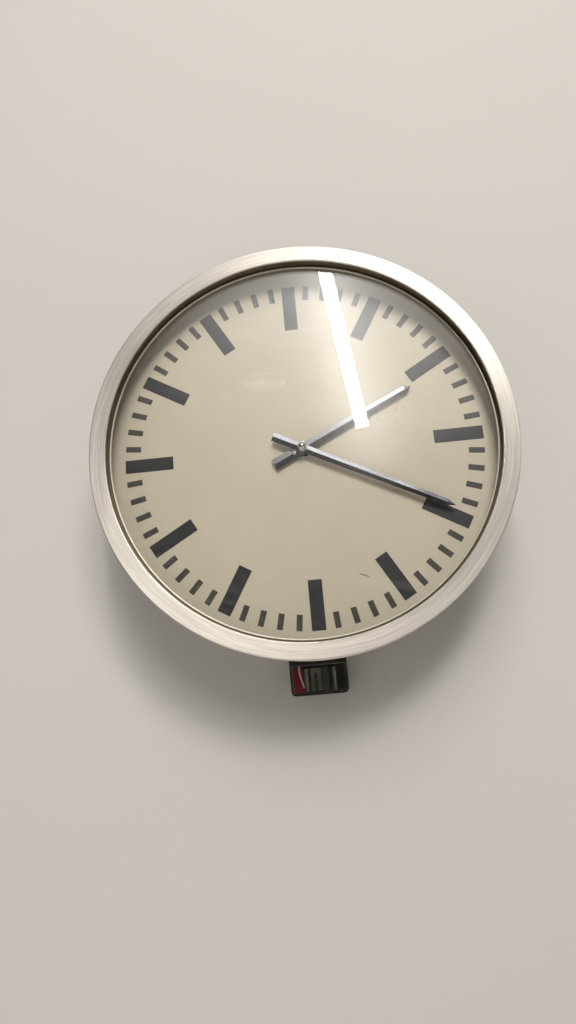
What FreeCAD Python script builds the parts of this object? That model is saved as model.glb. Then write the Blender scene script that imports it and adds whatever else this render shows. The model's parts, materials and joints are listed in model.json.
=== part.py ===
import FreeCAD, Part
import math
import os

import Sketcher

# A round wall clock of the kind that follows a master clock: steel pan and bezel, printed dial, two hands,
# an impulse movement behind the dial and a clear connection box below the case.
#
# The part's frame has its origin on the wall, on the dial's axis.  +X is right, +Z is up to 12 o'clock and
# the front faces -Y.  Every piece is drawn looking at the dial: x is right, y is up and z is the height
# above the wall.  The placement FACING turns that drawing upright.

FACING = FreeCAD.Rotation(FreeCAD.Vector(1, 0, 0), 90)
VECTOR = FreeCAD.Vector

SIZES = {
    # case and bezel
    "bezel_radius": 165.0,
    "case_height": 85.0,
    "bezel_face": 13.0,
    "bezel_sheet": 1.2,
    "skirt_margin": 5.0,
    "bezel_edge": 0.9,
    "glass_setback": 6.7,
    "lip_width": 2.6,
    "glass_thickness": 3.0,
    "glass_overlap": 6.6,
    "gasket_thickness": 0.8,
    "gasket_inset": 0.5,
    "retainer_inset": 3.2,
    "seal_thickness": 2.1,
    "seal_width": 2.4,
    "case_gap": 0.8,
    "case_sheet": 1.2,
    "case_corner": 4.0,
    # hanging
    "hanger_rise": 120.0,
    "keyhole_radius": 5.0,
    "keyhole_slot": 2.75,
    "keyhole_lift": 12.0,
    "hanger_half_width": 16.0,
    "hanger_half_length": 22.0,
    "hanger_sheet": 2.0,
    "hanger_rivet": 2.0,
    "lower_hole_drop": 128.0,
    "lower_hole_radius": 2.75,
    # dial
    "dial_gap": 14.3,
    "dial_sheet": 1.0,
    "dial_clearance": 0.6,
    "dial_hole": 4.5,
    "bush_flange": 7.0,
    "bush_height": 1.2,
    "bush_clearance": 0.4,
    "ink": 0.1,
    "mark_inset": 6.6,
    "hour_mark_length": 38.7,
    "hour_mark_width": 10.8,
    "minute_mark_length": 12.4,
    "minute_mark_width": 4.6,
    "post_inset": 45.0,
    "post_radius": 5.0,
    "post_gap": 10.0,
    "foot_radius": 2.0,
    "foot_clearance": 0.06,
    "foot_depth": 12.0,
    # hands
    "hour_angle": 64.5,
    "minute_angle": 117.2,
    "hour_tip_gap": 3.6,
    "minute_tip_gap": 3.4,
    "hour_tail": 25.7,
    "minute_tail": 25.2,
    "hour_tail_width": 9.4,
    "hour_tip_width": 6.4,
    "minute_tail_width": 7.2,
    "minute_tip_width": 5.2,
    "hour_point": 5.5,
    "minute_point": 7.0,
    "blade_edge": 0.5,
    "blade_slope": 0.24,
    "hour_hand_lift": 2.4,
    "minute_hand_lift": 5.6,
    "hand_rivet_place": 7.3,
    "hand_rivet_radius": 1.7,
    "cap_radius": 3.65,
    # movement
    "plate_height": 22.0,
    "plate_sheet": 1.5,
    "plate_space": 20.5,
    "front_half_width": 28.0,
    "front_top": 22.0,
    "plate_margin": 18.0,
    "rear_margin_x": 10.0,
    "rear_margin_y": 8.0,
    "pillar_radius": 3.0,
    "pillar_inset": 5.5,
    "standoff_radius": 4.0,
    "screw_radius": 1.25,
    "screw_head": 2.4,
    "screw_head_height": 1.4,
    "bush_radius": 2.5,
    "pivot_radius": 0.75,
    "running_clearance": 0.06,
    "end_shake": 0.25,
    "arbor_radius": 1.5,
    "thin_arbor_radius": 1.1,
    "centre_front_radius": 1.0,
    "cannon_wall": 0.75,
    "hour_pipe_wall": 0.75,
    # gearing
    "gear_module": 0.5,
    "pressure_angle": 25.0,
    "tooth_thinning": 0.03,
    "wheel_sheet": 1.4,
    "pinion_length": 4.0,
    "cannon_length": 2.7,
    "centre_wheel_rise": 3.0,
    "driving_pinion_rise": 1.7,
    "intermediate_wheel_rise": 13.5,
    "cannon_gap": 0.8,
    "minute_wheel_rise": 0.7,
    "hour_wheel_gap": 0.9,
    "minute_pinion_over": 0.6,
    "post_over": 1.2,
    "clip_sheet": 0.6,
    # motor
    "rotor_radius": 7.0,
    "rotor_length": 5.0,
    "air_gap": 0.6,
    "pole_sheet": 4.0,
    "pole_rise": 6.0,
    "pole_screw_inset": 6.0,
    "pole_screw_rise": 3.25,
    "jaw_over": 2.25,
    "jaw_gap": 5.8,
    "leg_under": 6.0,
    "pole_half_width": 24.0,
    "pole_split": 1.0,
    "coil_half_length": 11.5,
    "coil_radius": 8.0,
    "coil_flange": 8.2,
    "coil_hub": 5.3,
    "coil_drop": 28.75,
    "core_height": 4.0,
    "core_width": 8.0,
    # connection box
    "box_shift": -4.0,
    "box_half_width": 22.5,
    "box_drop": 27.0,
    "box_floor_height": 5.0,
    "box_floor": 2.7,
    "box_depth": 28.0,
    "box_wall": 1.6,
    "box_corner": 4.0,
    "box_saddle": 3.9,
    "box_gap": 0.2,
    "line_hole": 2.6,
    "grommet_radius": 5.2,
    "grommet_flange": 1.4,
    "line_bush_wall": 1.4,
    "block_margin_low": 0.9,
    "block_margin_top": 2.1,
    "red_margin_top": 1.4,
    "lead_radius": 0.7,
}

HOURS = 12
MINUTES = 60
CANNON_TEETH = 15
MINUTE_WHEEL_TEETH = 45
MINUTE_PINION_TEETH = 12
HOUR_WHEEL_TEETH = 48
CENTRE_TEETH = 48
DRIVING_PINION_TEETH = 12
INTERMEDIATE_TEETH = 45
ROTOR_PINION_TEETH = 12
ADDENDUM = 0.70
DEDENDUM = 0.95
FLANK_STEPS = 4

doc = FreeCAD.newDocument("WallClock")
sheet = doc.addObject("Spreadsheet::Sheet", "Sizes")
for row, (alias, number) in enumerate(SIZES.items(), start=1):
    sheet.set(f"A{row}", alias)
    sheet.set(f"B{row}", str(number))
    sheet.setAlias(f"B{row}", alias)
doc.recompute()


class Size:
    """A number together with the sheet expression that gives it."""

    def __init__(self, value, text):
        self.value = value
        self.text = text

    def __add__(self, other):
        other = as_size(other)
        return Size(self.value + other.value, f"({self.text} + {other.text})")

    def __radd__(self, other):
        return as_size(other) + self

    def __sub__(self, other):
        other = as_size(other)
        return Size(self.value - other.value, f"({self.text} - {other.text})")

    def __rsub__(self, other):
        return as_size(other) - self

    def __mul__(self, other):
        other = as_size(other)
        return Size(self.value * other.value, f"({self.text} * {other.text})")

    def __rmul__(self, other):
        return as_size(other) * self

    def __truediv__(self, other):
        other = as_size(other)
        return Size(self.value / other.value, f"({self.text} / {other.text})")

    def __neg__(self):
        return Size(-self.value, f"(-1 * {self.text})")


def as_size(thing):
    """Takes a Size as it is, and a bare number as a Size of its own."""
    if isinstance(thing, Size):
        return thing
    return Size(float(thing), f"({float(thing)!r})")


class Named:
    """The sheet's sizes by name."""

    def __getattr__(self, alias):
        return Size(float(getattr(sheet, alias)), f"Sizes.{alias}")


size = Named()
ZERO = as_size(0)
nodes = []


def keep(piece, label):
    """Names a finished sub-part, which becomes one node."""
    piece.Label = label
    nodes.append(piece)
    return piece


def bind(thing, **properties):
    """Binds properties to sizes; a double underscore stands for a dot."""
    for name, value in properties.items():
        thing.setExpression(name.replace("__", "."), as_size(value).text)


def place(thing, x=ZERO, y=ZERO, z=ZERO, spin=0.0):
    """Stands a drawn piece upright at x right, y up and z above the wall, turned by spin degrees."""
    x, y, z = as_size(x), as_size(y), as_size(z)
    turn = FreeCAD.Rotation(VECTOR(0, 0, 1), spin)
    thing.Placement = FreeCAD.Placement(VECTOR(x.value, -z.value, y.value), FACING * turn)
    bind(thing, Placement__Base__x=x, Placement__Base__y=-z, Placement__Base__z=y)


# ---------------------------------------------------------------- drawing helpers


def origin_plane(body, role):
    for feature in body.Origin.OriginFeatures:
        if feature.Role == role:
            return feature
    raise ValueError(role)


def new_sketch(body, name, role, lift=None):
    sketch = body.newObject("Sketcher::SketchObject", name)
    sketch.AttachmentSupport = [(origin_plane(body, role), "")]
    sketch.MapMode = "FlatFace"
    if lift is not None:
        bind(sketch, AttachmentOffset__Base__z=lift)
    return sketch


def pin_point(sketch, geometry, point, x, y):
    """Ties one point of a sketch to its two coordinates."""
    for kind, axis, coordinate in (("DistanceX", -2, as_size(x)), ("DistanceY", -1, as_size(y))):
        if coordinate.value == 0:
            sketch.addConstraint(Sketcher.Constraint("PointOnObject", geometry, point, axis))
            continue
        index = sketch.addConstraint(
            Sketcher.Constraint(kind, -1, 1, geometry, point, coordinate.value)
        )
        sketch.setExpression(f"Constraints[{index}]", coordinate.text)


def draw_polygon(sketch, corners):
    corners = [(as_size(x), as_size(y)) for x, y in corners]
    first = sketch.GeometryCount
    count = len(corners)
    for index, (x, y) in enumerate(corners):
        next_x, next_y = corners[(index + 1) % count]
        start = VECTOR(x.value, y.value, 0)
        end = VECTOR(next_x.value, next_y.value, 0)
        sketch.addGeometry(Part.LineSegment(start, end), False)
    for index in range(count):
        following = first + (index + 1) % count
        sketch.addConstraint(Sketcher.Constraint("Coincident", first + index, 2, following, 1))
    for index, (x, y) in enumerate(corners):
        pin_point(sketch, first + index, 1, x, y)


def draw_circle(sketch, x, y, radius):
    x, y, radius = as_size(x), as_size(y), as_size(radius)
    circle = Part.Circle(VECTOR(x.value, y.value, 0), VECTOR(0, 0, 1), radius.value)
    geometry = sketch.addGeometry(circle, False)
    pin_point(sketch, geometry, 3, x, y)
    index = sketch.addConstraint(Sketcher.Constraint("Radius", geometry, radius.value))
    sketch.setExpression(f"Constraints[{index}]", radius.text)


def box_corners(left, bottom, right, top):
    return [(left, bottom), (right, bottom), (right, top), (left, top)]


def new_body(name):
    return doc.addObject("PartDesign::Body", name)


def turned(name, profile, x=ZERO, y=ZERO):
    """A piece turned about an axis that stands on the wall at x, y; the profile holds (radius, height)."""
    body = new_body(name)
    sketch = new_sketch(body, name + "_profile", "XZ_Plane")
    draw_polygon(sketch, profile)
    revolution = body.newObject("PartDesign::Revolution", name + "_turn")
    revolution.Profile = sketch
    revolution.ReferenceAxis = (sketch, ["V_Axis"])
    revolution.Angle = 360
    place(body, x, y)
    return body


def ring(name, inner, outer, low, high, x=ZERO, y=ZERO):
    return turned(name, box_corners(inner, low, outer, high), x, y)


def plate(name, outline, low, thickness, holes=()):
    """A flat piece from height low: an outline with round holes (x, y, radius)."""
    body = new_body(name)
    sketch = new_sketch(body, name + "_outline", "XY_Plane", as_size(low))
    draw_polygon(sketch, outline)
    for hole in holes:
        draw_circle(sketch, *hole)
    pad = body.newObject("PartDesign::Pad", name + "_pad")
    pad.Profile = sketch
    bind(pad, Length=thickness)
    place(body)
    return body


def round_edges(body, name, radius, wanted):
    """Rounds the edges of the body's tip that the test wanted() picks."""
    doc.recompute()
    base = body.Tip
    edges = [f"Edge{i}" for i, edge in enumerate(base.Shape.Edges, start=1) if wanted(edge)]
    if not edges:
        raise ValueError(f"{name} found no edge")
    fillet = body.newObject("PartDesign::Fillet", name)
    fillet.Base = (base, edges)
    bind(fillet, Radius=radius)
    doc.recompute()
    return fillet


def circle_at(radius, height):
    """Picks whole circles about the dial's axis by radius and height, in the body's own drawing."""

    def wanted(edge):
        curve = edge.Curve
        if not isinstance(curve, Part.Circle):
            return False
        same_radius = abs(curve.Radius - radius.value) < 1e-3
        return same_radius and abs(curve.Center.z - height.value) < 1e-3

    return wanted


def upright_edges(x_values, y_values):
    """Picks straight edges along the drawing's z that stand at the given x and y."""

    def wanted(edge):
        if not isinstance(edge.Curve, Part.Line):
            return False
        start, end = edge.Vertexes[0].Point, edge.Vertexes[-1].Point
        upright = abs(start.x - end.x) < 1e-3 and abs(start.y - end.y) < 1e-3
        near_x = any(abs(start.x - value.value) < 1e-2 for value in x_values)
        near_y = any(abs(start.y - value.value) < 1e-2 for value in y_values)
        return upright and near_x and near_y

    return wanted


def rod(name, x, y, low, length, radius):
    """A round bar that stands up from the wall."""
    piece = doc.addObject("Part::Cylinder", name)
    bind(piece, Radius=radius, Height=length)
    place(piece, x, y, low)
    return piece


def lying_rod(name, start_x, y, height, length, radius):
    """A round bar that runs to the right from start_x."""
    piece = doc.addObject("Part::Cylinder", name)
    bind(piece, Radius=radius, Height=length)
    start_x, y, height = as_size(start_x), as_size(y), as_size(height)
    along_x = FreeCAD.Rotation(VECTOR(0, 1, 0), 90)
    piece.Placement = FreeCAD.Placement(VECTOR(start_x.value, -height.value, y.value), along_x)
    bind(piece, Placement__Base__x=start_x, Placement__Base__y=-height, Placement__Base__z=y)
    return piece


def rising_rod(name, x, low_y, height, length, radius):
    """A round bar that runs up from low_y."""
    piece = doc.addObject("Part::Cylinder", name)
    bind(piece, Radius=radius, Height=length)
    x, low_y, height = as_size(x), as_size(low_y), as_size(height)
    piece.Placement = FreeCAD.Placement(VECTOR(x.value, -height.value, low_y.value), FreeCAD.Rotation())
    bind(piece, Placement__Base__x=x, Placement__Base__y=-height, Placement__Base__z=low_y)
    return piece


def block(name, left, bottom, low, width, length, thickness):
    """A rectangular bar: width to the right, length up, thickness away from the wall."""
    piece = doc.addObject("Part::Box", name)
    bind(piece, Length=width, Width=length, Height=thickness)
    place(piece, left, bottom, low)
    return piece


def cut(name, base, *tools):
    """Takes the tools from the base, one after the other."""
    for index, tool in enumerate(tools):
        piece = doc.addObject("Part::Cut", f"{name}_{index}")
        piece.Base = base
        piece.Tool = tool
        base = piece
    return base


def fuse(name, *pieces):
    piece = doc.addObject("Part::MultiFuse", name)
    piece.Shapes = list(pieces)
    piece.Refine = True
    return piece


def common(name, first, second):
    piece = doc.addObject("Part::Common", name)
    piece.Base = first
    piece.Tool = second
    return piece


def group(label, pieces):
    """Separate solids of one kind share a node."""
    piece = doc.addObject("Part::Compound", label)
    piece.Links = list(pieces)
    return keep(piece, label)


def slotted_screw(name, x, y, seat, grip, shank=None, head=None):
    """A cheese-head screw: the head stands on height seat, the shank reaches grip below it."""
    shank = size.screw_radius if shank is None else shank
    head = size.screw_head if head is None else head
    slot_width = 0.5
    slot_depth = size.screw_head_height / 2
    cap = rod(name + "_head", x, y, seat, size.screw_head_height, head)
    stem = rod(name + "_shank", x, y, as_size(seat) - grip, grip, shank)
    slot = block(
        name + "_slot",
        as_size(x) - head,
        as_size(y) - slot_width / 2,
        as_size(seat) + slot_depth,
        head * 2,
        slot_width,
        size.screw_head_height,
    )
    return cut(name, fuse(name + "_body", cap, stem), slot)


# ---------------------------------------------------------------- places shared by several pieces

face_inner = size.bezel_radius - size.bezel_face
opening = face_inner - size.lip_width
lip_front = size.case_height - size.glass_setback
lip_back = lip_front - size.bezel_sheet
glass_front = lip_back - size.gasket_thickness
glass_back = glass_front - size.glass_thickness
dial_front = glass_back - size.dial_gap
dial_back = dial_front - size.dial_sheet

skirt_inner = size.bezel_radius - size.bezel_sheet
pan_outer = skirt_inner - size.case_gap
pan_inner = pan_outer - size.case_sheet
pan_rim = glass_back - size.bezel_sheet - size.seal_thickness

front_plate_low = size.plate_height + size.plate_sheet + size.plate_space
front_plate_top = front_plate_low + size.plate_sheet
rear_plate_top = size.plate_height + size.plate_sheet


def gear_distance(first_teeth, second_teeth):
    return size.gear_module * ((first_teeth + second_teeth) / 2)


motion_distance = gear_distance(CANNON_TEETH, MINUTE_WHEEL_TEETH)
intermediate_y = -gear_distance(CENTRE_TEETH, DRIVING_PINION_TEETH)
rotor_y = intermediate_y - gear_distance(INTERMEDIATE_TEETH, ROTOR_PINION_TEETH)
coil_y = rotor_y - size.coil_drop
front_bottom = coil_y - size.plate_margin


# ---------------------------------------------------------------- bezel and glass

RIM_SCREW_ANGLES = (90.0, -30.0, 210.0)
RIM_SCREW_RADIUS = 1.5
RIM_SCREW_HEAD = 2.8
RIM_SCREW_HEAD_HEIGHT = 1.2
RIM_NUT_RADIUS = 3.0
RIM_NUT_LENGTH = 4.0
GLASS_EDGE = 0.4
rim_screw_height = pan_rim - RIM_NUT_RADIUS - 1.0


def make_bezel():
    """Pressed ring: skirt, flat face, inner wall and a turned-in lip that holds the glass."""
    wall_outer = face_inner + size.bezel_sheet
    face_back = size.case_height - size.bezel_sheet
    skirt_low = rim_screw_height - size.skirt_margin
    body = turned(
        "bezel_blank",
        [
            (size.bezel_radius, skirt_low),
            (size.bezel_radius, size.case_height),
            (face_inner, size.case_height),
            (face_inner, lip_front),
            (opening, lip_front),
            (opening, lip_back),
            (wall_outer, lip_back),
            (wall_outer, face_back),
            (skirt_inner, face_back),
            (skirt_inner, skirt_low),
        ],
    )
    outer_edge = circle_at(size.bezel_radius, size.case_height)
    inner_edge = circle_at(face_inner, size.case_height)
    round_edges(body, "bezel_edges", size.bezel_edge, lambda e: outer_edge(e) or inner_edge(e))
    lip_edge = circle_at(opening, lip_front)
    round_edges(body, "bezel_lip_edge", size.bezel_edge / 2, lip_edge)
    return body


def radial_rod(name, angle, start, length, radius, height):
    """A round bar that runs outwards from the dial's axis at an angle from +x."""
    start, height = as_size(start), as_size(height)
    piece = doc.addObject("Part::Cylinder", name)
    bind(piece, Radius=radius, Height=length)
    turn = math.radians(angle)
    outwards = VECTOR(math.cos(turn), 0, math.sin(turn))
    base = outwards * start.value
    piece.Placement = FreeCAD.Placement(
        VECTOR(base.x, -height.value, base.z), FreeCAD.Rotation(VECTOR(0, 0, 1), outwards)
    )
    bind(
        piece,
        Placement__Base__x=start * math.cos(turn),
        Placement__Base__y=-height,
        Placement__Base__z=start * math.sin(turn),
    )
    return piece


def rim_rod(name, angle, start, length, radius):
    return radial_rod(name, angle, start, length, radius, rim_screw_height)


def rim_holes(name, radius, start, length):
    return [
        rim_rod(f"{name}_{i}", angle, start, length, radius)
        for i, angle in enumerate(RIM_SCREW_ANGLES)
    ]


def make_bezel_parts():
    hole_length = size.bezel_sheet * 3
    holes = rim_holes("bezel_hole", RIM_SCREW_RADIUS, skirt_inner - size.bezel_sheet, hole_length)
    keep(cut("bezel", make_bezel(), *holes), "bezel_ring")

    screws = []
    nut_start = pan_inner - RIM_NUT_LENGTH
    grip = size.bezel_radius - nut_start
    for i, angle in enumerate(RIM_SCREW_ANGLES):
        shank = rim_rod(f"rim_shank_{i}", angle, nut_start, grip, RIM_SCREW_RADIUS)
        head = rim_rod(f"rim_head_{i}", angle, size.bezel_radius, RIM_SCREW_HEAD_HEIGHT, RIM_SCREW_HEAD)
        screws.append(fuse(f"rim_screw_{i}", shank, head))
    group("bezel_screws", screws)

    nuts = []
    for i, angle in enumerate(RIM_SCREW_ANGLES):
        barrel = rim_rod(f"nut_body_{i}", angle, nut_start, RIM_NUT_LENGTH, RIM_NUT_RADIUS)
        hole = rim_rod(f"nut_hole_{i}", angle, nut_start - 1, RIM_NUT_LENGTH + 2, RIM_SCREW_RADIUS)
        wall = rod(f"nut_wall_{i}", ZERO, ZERO, ZERO, size.case_height, pan_inner)
        nuts.append(common(f"rim_nut_{i}", cut(f"nut_{i}", barrel, hole), wall))
    group("rim_nuts", nuts)

    keep(
        ring("gasket", opening + size.gasket_inset, face_inner + size.bezel_sheet, glass_front, lip_back),
        "glass_gasket",
    )

    glass_radius = opening + size.glass_overlap
    glass = turned(
        "glass",
        [
            (ZERO, glass_back),
            (glass_radius, glass_back),
            (glass_radius, glass_front),
            (ZERO, glass_front),
        ],
    )
    glass_edges = [circle_at(glass_radius, glass_back), circle_at(glass_radius, glass_front)]
    round_edges(glass, "glass_edges", as_size(GLASS_EDGE), lambda e: any(test(e) for test in glass_edges))
    keep(glass, "front_glass")

    retainer_low = glass_back - size.bezel_sheet
    retainer_outer = skirt_inner - size.case_gap / 2
    keep(
        ring("retainer", opening + size.retainer_inset, retainer_outer, retainer_low, glass_back),
        "glass_retainer",
    )
    keep(ring("seal", pan_outer - size.seal_width, pan_outer, pan_rim, retainer_low), "case_seal")


# ---------------------------------------------------------------- case pan and hanging

HANGER_RIVET_ROW = 11.0
HANGER_RIVET_HEAD = 3.6
HANGER_RIVET_HEAD_HEIGHT = 1.2
BOX_SCREW_RADIUS = 1.5
BOX_SCREW_HEAD = 2.8
BOX_SCREW_HEAD_HEIGHT = 1.8
BOX_SCREW_PLACES = (-4.0, 16.0)
GROMMET_PLACE = -15.5
box_middle_height = size.box_floor_height + size.box_depth / 2
grommet_x = size.box_shift + GROMMET_PLACE
grommet_height = size.box_floor_height + 15.7
keyhole_top = size.hanger_rise + size.keyhole_lift
hanger_middle = size.hanger_rise + size.keyhole_lift / 2


def keyhole_cutters(name, low, thickness):
    """A round hole with a narrow slot above it."""
    round_part = rod(name + "_round", ZERO, size.hanger_rise, low, thickness, size.keyhole_radius)
    width = size.keyhole_slot * 2
    slot = block(
        name + "_slot", -size.keyhole_slot, size.hanger_rise, low, width, size.keyhole_lift, thickness
    )
    slot_end = rod(name + "_end", ZERO, keyhole_top, low, thickness, size.keyhole_slot)
    return [round_part, slot, slot_end]


def hanger_rivet_holes(name, low, thickness):
    return [
        rod(f"{name}_{i}", side * HANGER_RIVET_ROW, hanger_middle, low, thickness, size.hanger_rivet)
        for i, side in enumerate((-1, 1))
    ]


def box_screw_rod(name, place_x, low_y, length, radius):
    return rising_rod(name, size.box_shift + place_x, low_y, box_middle_height, length, radius)


def make_case():
    body = turned(
        "pan_blank",
        [
            (ZERO, ZERO),
            (pan_outer, ZERO),
            (pan_outer, pan_rim),
            (pan_inner, pan_rim),
            (pan_inner, size.case_sheet),
            (ZERO, size.case_sheet),
        ],
    )
    round_edges(body, "pan_outer_corner", size.case_corner, circle_at(pan_outer, ZERO))
    inner_corner = size.case_corner - size.case_sheet
    round_edges(body, "pan_inner_corner", inner_corner, circle_at(pan_inner, size.case_sheet))
    behind, through = as_size(-1), size.case_sheet + 2
    cutters = keyhole_cutters("pan_key", behind, through)
    cutters += hanger_rivet_holes("pan_rivet", behind, through)
    cutters.append(
        rod("pan_lower", ZERO, -size.lower_hole_drop, behind, through, size.lower_hole_radius)
    )
    cutters += rim_holes("pan_rim_hole", RIM_SCREW_RADIUS, pan_inner - 1, through)
    below, reach = -size.bezel_radius, size.box_half_width
    cutters.append(
        rising_rod("pan_lead_hole", grommet_x, below, grommet_height, reach, size.grommet_radius)
    )
    bore = as_size(BOX_SCREW_RADIUS)
    for i, place_x in enumerate(BOX_SCREW_PLACES):
        cutters.append(box_screw_rod(f"pan_box_hole_{i}", place_x, below, reach, bore))
    keep(cut("pan", body, *cutters), "case_pan")

    hanger = block(
        "hanger_blank",
        -size.hanger_half_width,
        hanger_middle - size.hanger_half_length,
        size.case_sheet,
        size.hanger_half_width * 2,
        size.hanger_half_length * 2,
        size.hanger_sheet,
    )
    low = size.case_sheet - 1
    tools = keyhole_cutters("hanger_key", low, size.hanger_sheet + 2)
    tools += hanger_rivet_holes("hanger_rivet_hole", low, size.hanger_sheet + 2)
    keep(cut("hanger", hanger, *tools), "hanger_plate")

    head_low = size.case_sheet + size.hanger_sheet
    head_height, head_radius = HANGER_RIVET_HEAD_HEIGHT, HANGER_RIVET_HEAD
    rivets = []
    for i, side in enumerate((-1, 1)):
        x = side * HANGER_RIVET_ROW
        shank = rod(f"hanger_shank_{i}", x, hanger_middle, ZERO, head_low, size.hanger_rivet)
        head = rod(f"hanger_head_{i}", x, hanger_middle, head_low, head_height, head_radius)
        rivets.append(fuse(f"hanger_rivet_{i}", shank, head))
    group("hanger_rivets", rivets)


# ---------------------------------------------------------------- dial

POST_ANGLES = (45.0, 135.0, 225.0, 315.0)
FOOT_SCREW_RADIUS = 1.5


def post_places():
    reach = pan_inner - size.post_inset
    for angle in POST_ANGLES:
        turn = math.radians(angle)
        yield reach * math.cos(turn), reach * math.sin(turn), angle


def make_dial():
    dial_radius = pan_inner - size.dial_clearance
    keep(ring("dial", size.dial_hole, dial_radius, dial_back, dial_front), "dial_plate")

    hour_pipe = size.centre_front_radius + size.cannon_wall + size.running_clearance + size.hour_pipe_wall
    bush_bore = hour_pipe + size.bush_clearance
    bush_top = dial_front + size.bush_height
    bush = turned(
        "bush",
        [
            (bush_bore, dial_back),
            (size.dial_hole, dial_back),
            (size.dial_hole, dial_front),
            (size.bush_flange, dial_front),
            (size.bush_flange, bush_top),
            (bush_bore, bush_top),
        ],
    )
    round_edges(bush, "bush_edge", as_size(0.4), circle_at(size.bush_flange, bush_top))
    keep(bush, "dial_bush")

    post_top = dial_back - size.post_gap
    foot_low = post_top - size.foot_depth
    bore = size.foot_radius + size.foot_clearance
    posts, feet, screws = [], [], []
    for i, (x, y, angle) in enumerate(post_places()):
        bar = rod(f"post_bar_{i}", x, y, size.case_sheet, post_top - size.case_sheet, size.post_radius)
        hole = rod(f"post_bore_{i}", x, y, foot_low, size.foot_depth + 1, bore)
        screw_height = post_top - size.foot_depth / 2
        centre = pan_inner - size.post_inset
        tapped = radial_rod(
            f"post_tap_{i}", angle, centre, size.post_radius * 2, as_size(FOOT_SCREW_RADIUS), screw_height
        )
        posts.append(cut(f"post_{i}", bar, hole, tapped))
        feet.append(rod(f"foot_{i}", x, y, foot_low + 1, dial_back - foot_low - 1, size.foot_radius))
        screw_length = size.post_radius - size.foot_radius + 1
        stem = radial_rod(
            f"foot_screw_bar_{i}",
            angle,
            centre + size.foot_radius,
            screw_length,
            as_size(FOOT_SCREW_RADIUS),
            screw_height,
        )
        foot = rod(f"foot_room_{i}", x, y, foot_low, size.foot_depth + 1, size.foot_radius)
        screws.append(cut(f"foot_screw_{i}", stem, foot))
    group("dial_posts", posts)
    group("dial_feet", feet)
    group("dial_foot_screws", screws)


def mark_bars(name, count, length, width, skip):
    """Printed bars that end on one circle, each centred on its own ray from the axis."""
    outer = opening - size.mark_inset
    bars = []
    for i in range(count):
        if skip(i):
            continue
        bar = doc.addObject("Part::Box", f"{name}_{i}")
        bind(bar, Length=width, Width=length, Height=size.ink)
        spin = -360.0 * i / count
        turn = math.radians(spin)
        inner = outer - length
        x = -(width / 2) * math.cos(turn) - inner * math.sin(turn)
        y = -(width / 2) * math.sin(turn) + inner * math.cos(turn)
        place(bar, x, y, dial_front, spin)
        bars.append(bar)
    return bars


def make_marks():
    hours = mark_bars("hour_bar", HOURS, size.hour_mark_length, size.hour_mark_width, lambda i: False)
    group("hour_marks", hours)

    def on_the_hour(i):
        return i % (MINUTES // HOURS) == 0

    length, width = size.minute_mark_length, size.minute_mark_width
    group("minute_marks", mark_bars("minute_bar", MINUTES, length, width, on_the_hour))


# ---------------------------------------------------------------- hands


def blade(tail, reach, tail_width, tip_width, point):
    """A roof-shaped hand along +x: flat back, two facets meeting on a ridge, square tail, short point."""
    edge = size.blade_edge.value
    slope = size.blade_slope.value
    back, half_back = -tail, tail_width / 2
    shoulder, half_tip = reach - point, tip_width / 2
    ridge_back = edge + slope * half_back
    ridge_tip = edge + slope * half_tip

    def face(*corners):
        points = [VECTOR(*corner) for corner in corners]
        return Part.Face(Part.makePolygon(points + points[:1]))

    faces = [
        face((back, -half_back, 0), (back, half_back, 0), (shoulder, half_tip, 0), (reach, 0, 0),
             (shoulder, -half_tip, 0)),
        face((back, -half_back, 0), (back, half_back, 0), (back, half_back, edge), (back, 0, ridge_back),
             (back, -half_back, edge)),
    ]
    for side in (-1, 1):
        wide, narrow = side * half_back, side * half_tip
        faces += [
            face((back, wide, 0), (shoulder, narrow, 0), (shoulder, narrow, edge), (back, wide, edge)),
            face((shoulder, narrow, 0), (reach, 0, 0), (reach, 0, edge), (shoulder, narrow, edge)),
            face(
                (back, wide, edge),
                (shoulder, narrow, edge),
                (shoulder, 0, ridge_tip),
                (back, 0, ridge_back),
            ),
            face((shoulder, narrow, edge), (reach, 0, edge), (shoulder, 0, ridge_tip)),
        ]
    shell = Part.makeShell(faces)
    solid = Part.makeSolid(shell)
    if solid.Volume < 0:
        solid.reverse()
    return solid


def hand(label, shape, bores, clock_angle, lift):
    """Places a blade over the dial, pointing clockwise from 12 by clock_angle degrees."""
    deepest = 20.0
    for x, radius in bores:
        shape = shape.cut(Part.makeCylinder(radius, deepest, VECTOR(x, 0, -deepest / 2)))
    piece = doc.addObject("Part::Feature", label)
    piece.Shape = shape
    place(piece, ZERO, ZERO, lift, 90.0 - clock_angle)
    return keep(piece, label)


arbor_front = size.centre_front_radius
cannon_outer = arbor_front + size.cannon_wall
hour_pipe_inner = cannon_outer + size.running_clearance
hour_pipe_outer = hour_pipe_inner + size.hour_pipe_wall
hour_blade_low = dial_front + size.hour_hand_lift
minute_blade_low = dial_front + size.minute_hand_lift
hour_hub_width = size.hour_tail_width
hour_ridge = hour_blade_low + size.blade_edge + size.blade_slope * hour_hub_width / 2
minute_ridge = minute_blade_low + size.blade_edge + size.blade_slope * size.minute_tail_width / 2
cap_low = minute_ridge + 0.3
hour_pipe_top = hour_blade_low + size.blade_edge
cannon_top = minute_ridge
RIVET_SHANK = 1.1
RIVET_DOME = 0.7
COLLET_WALL = 1.6
CAP_SINK = 0.63


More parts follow.
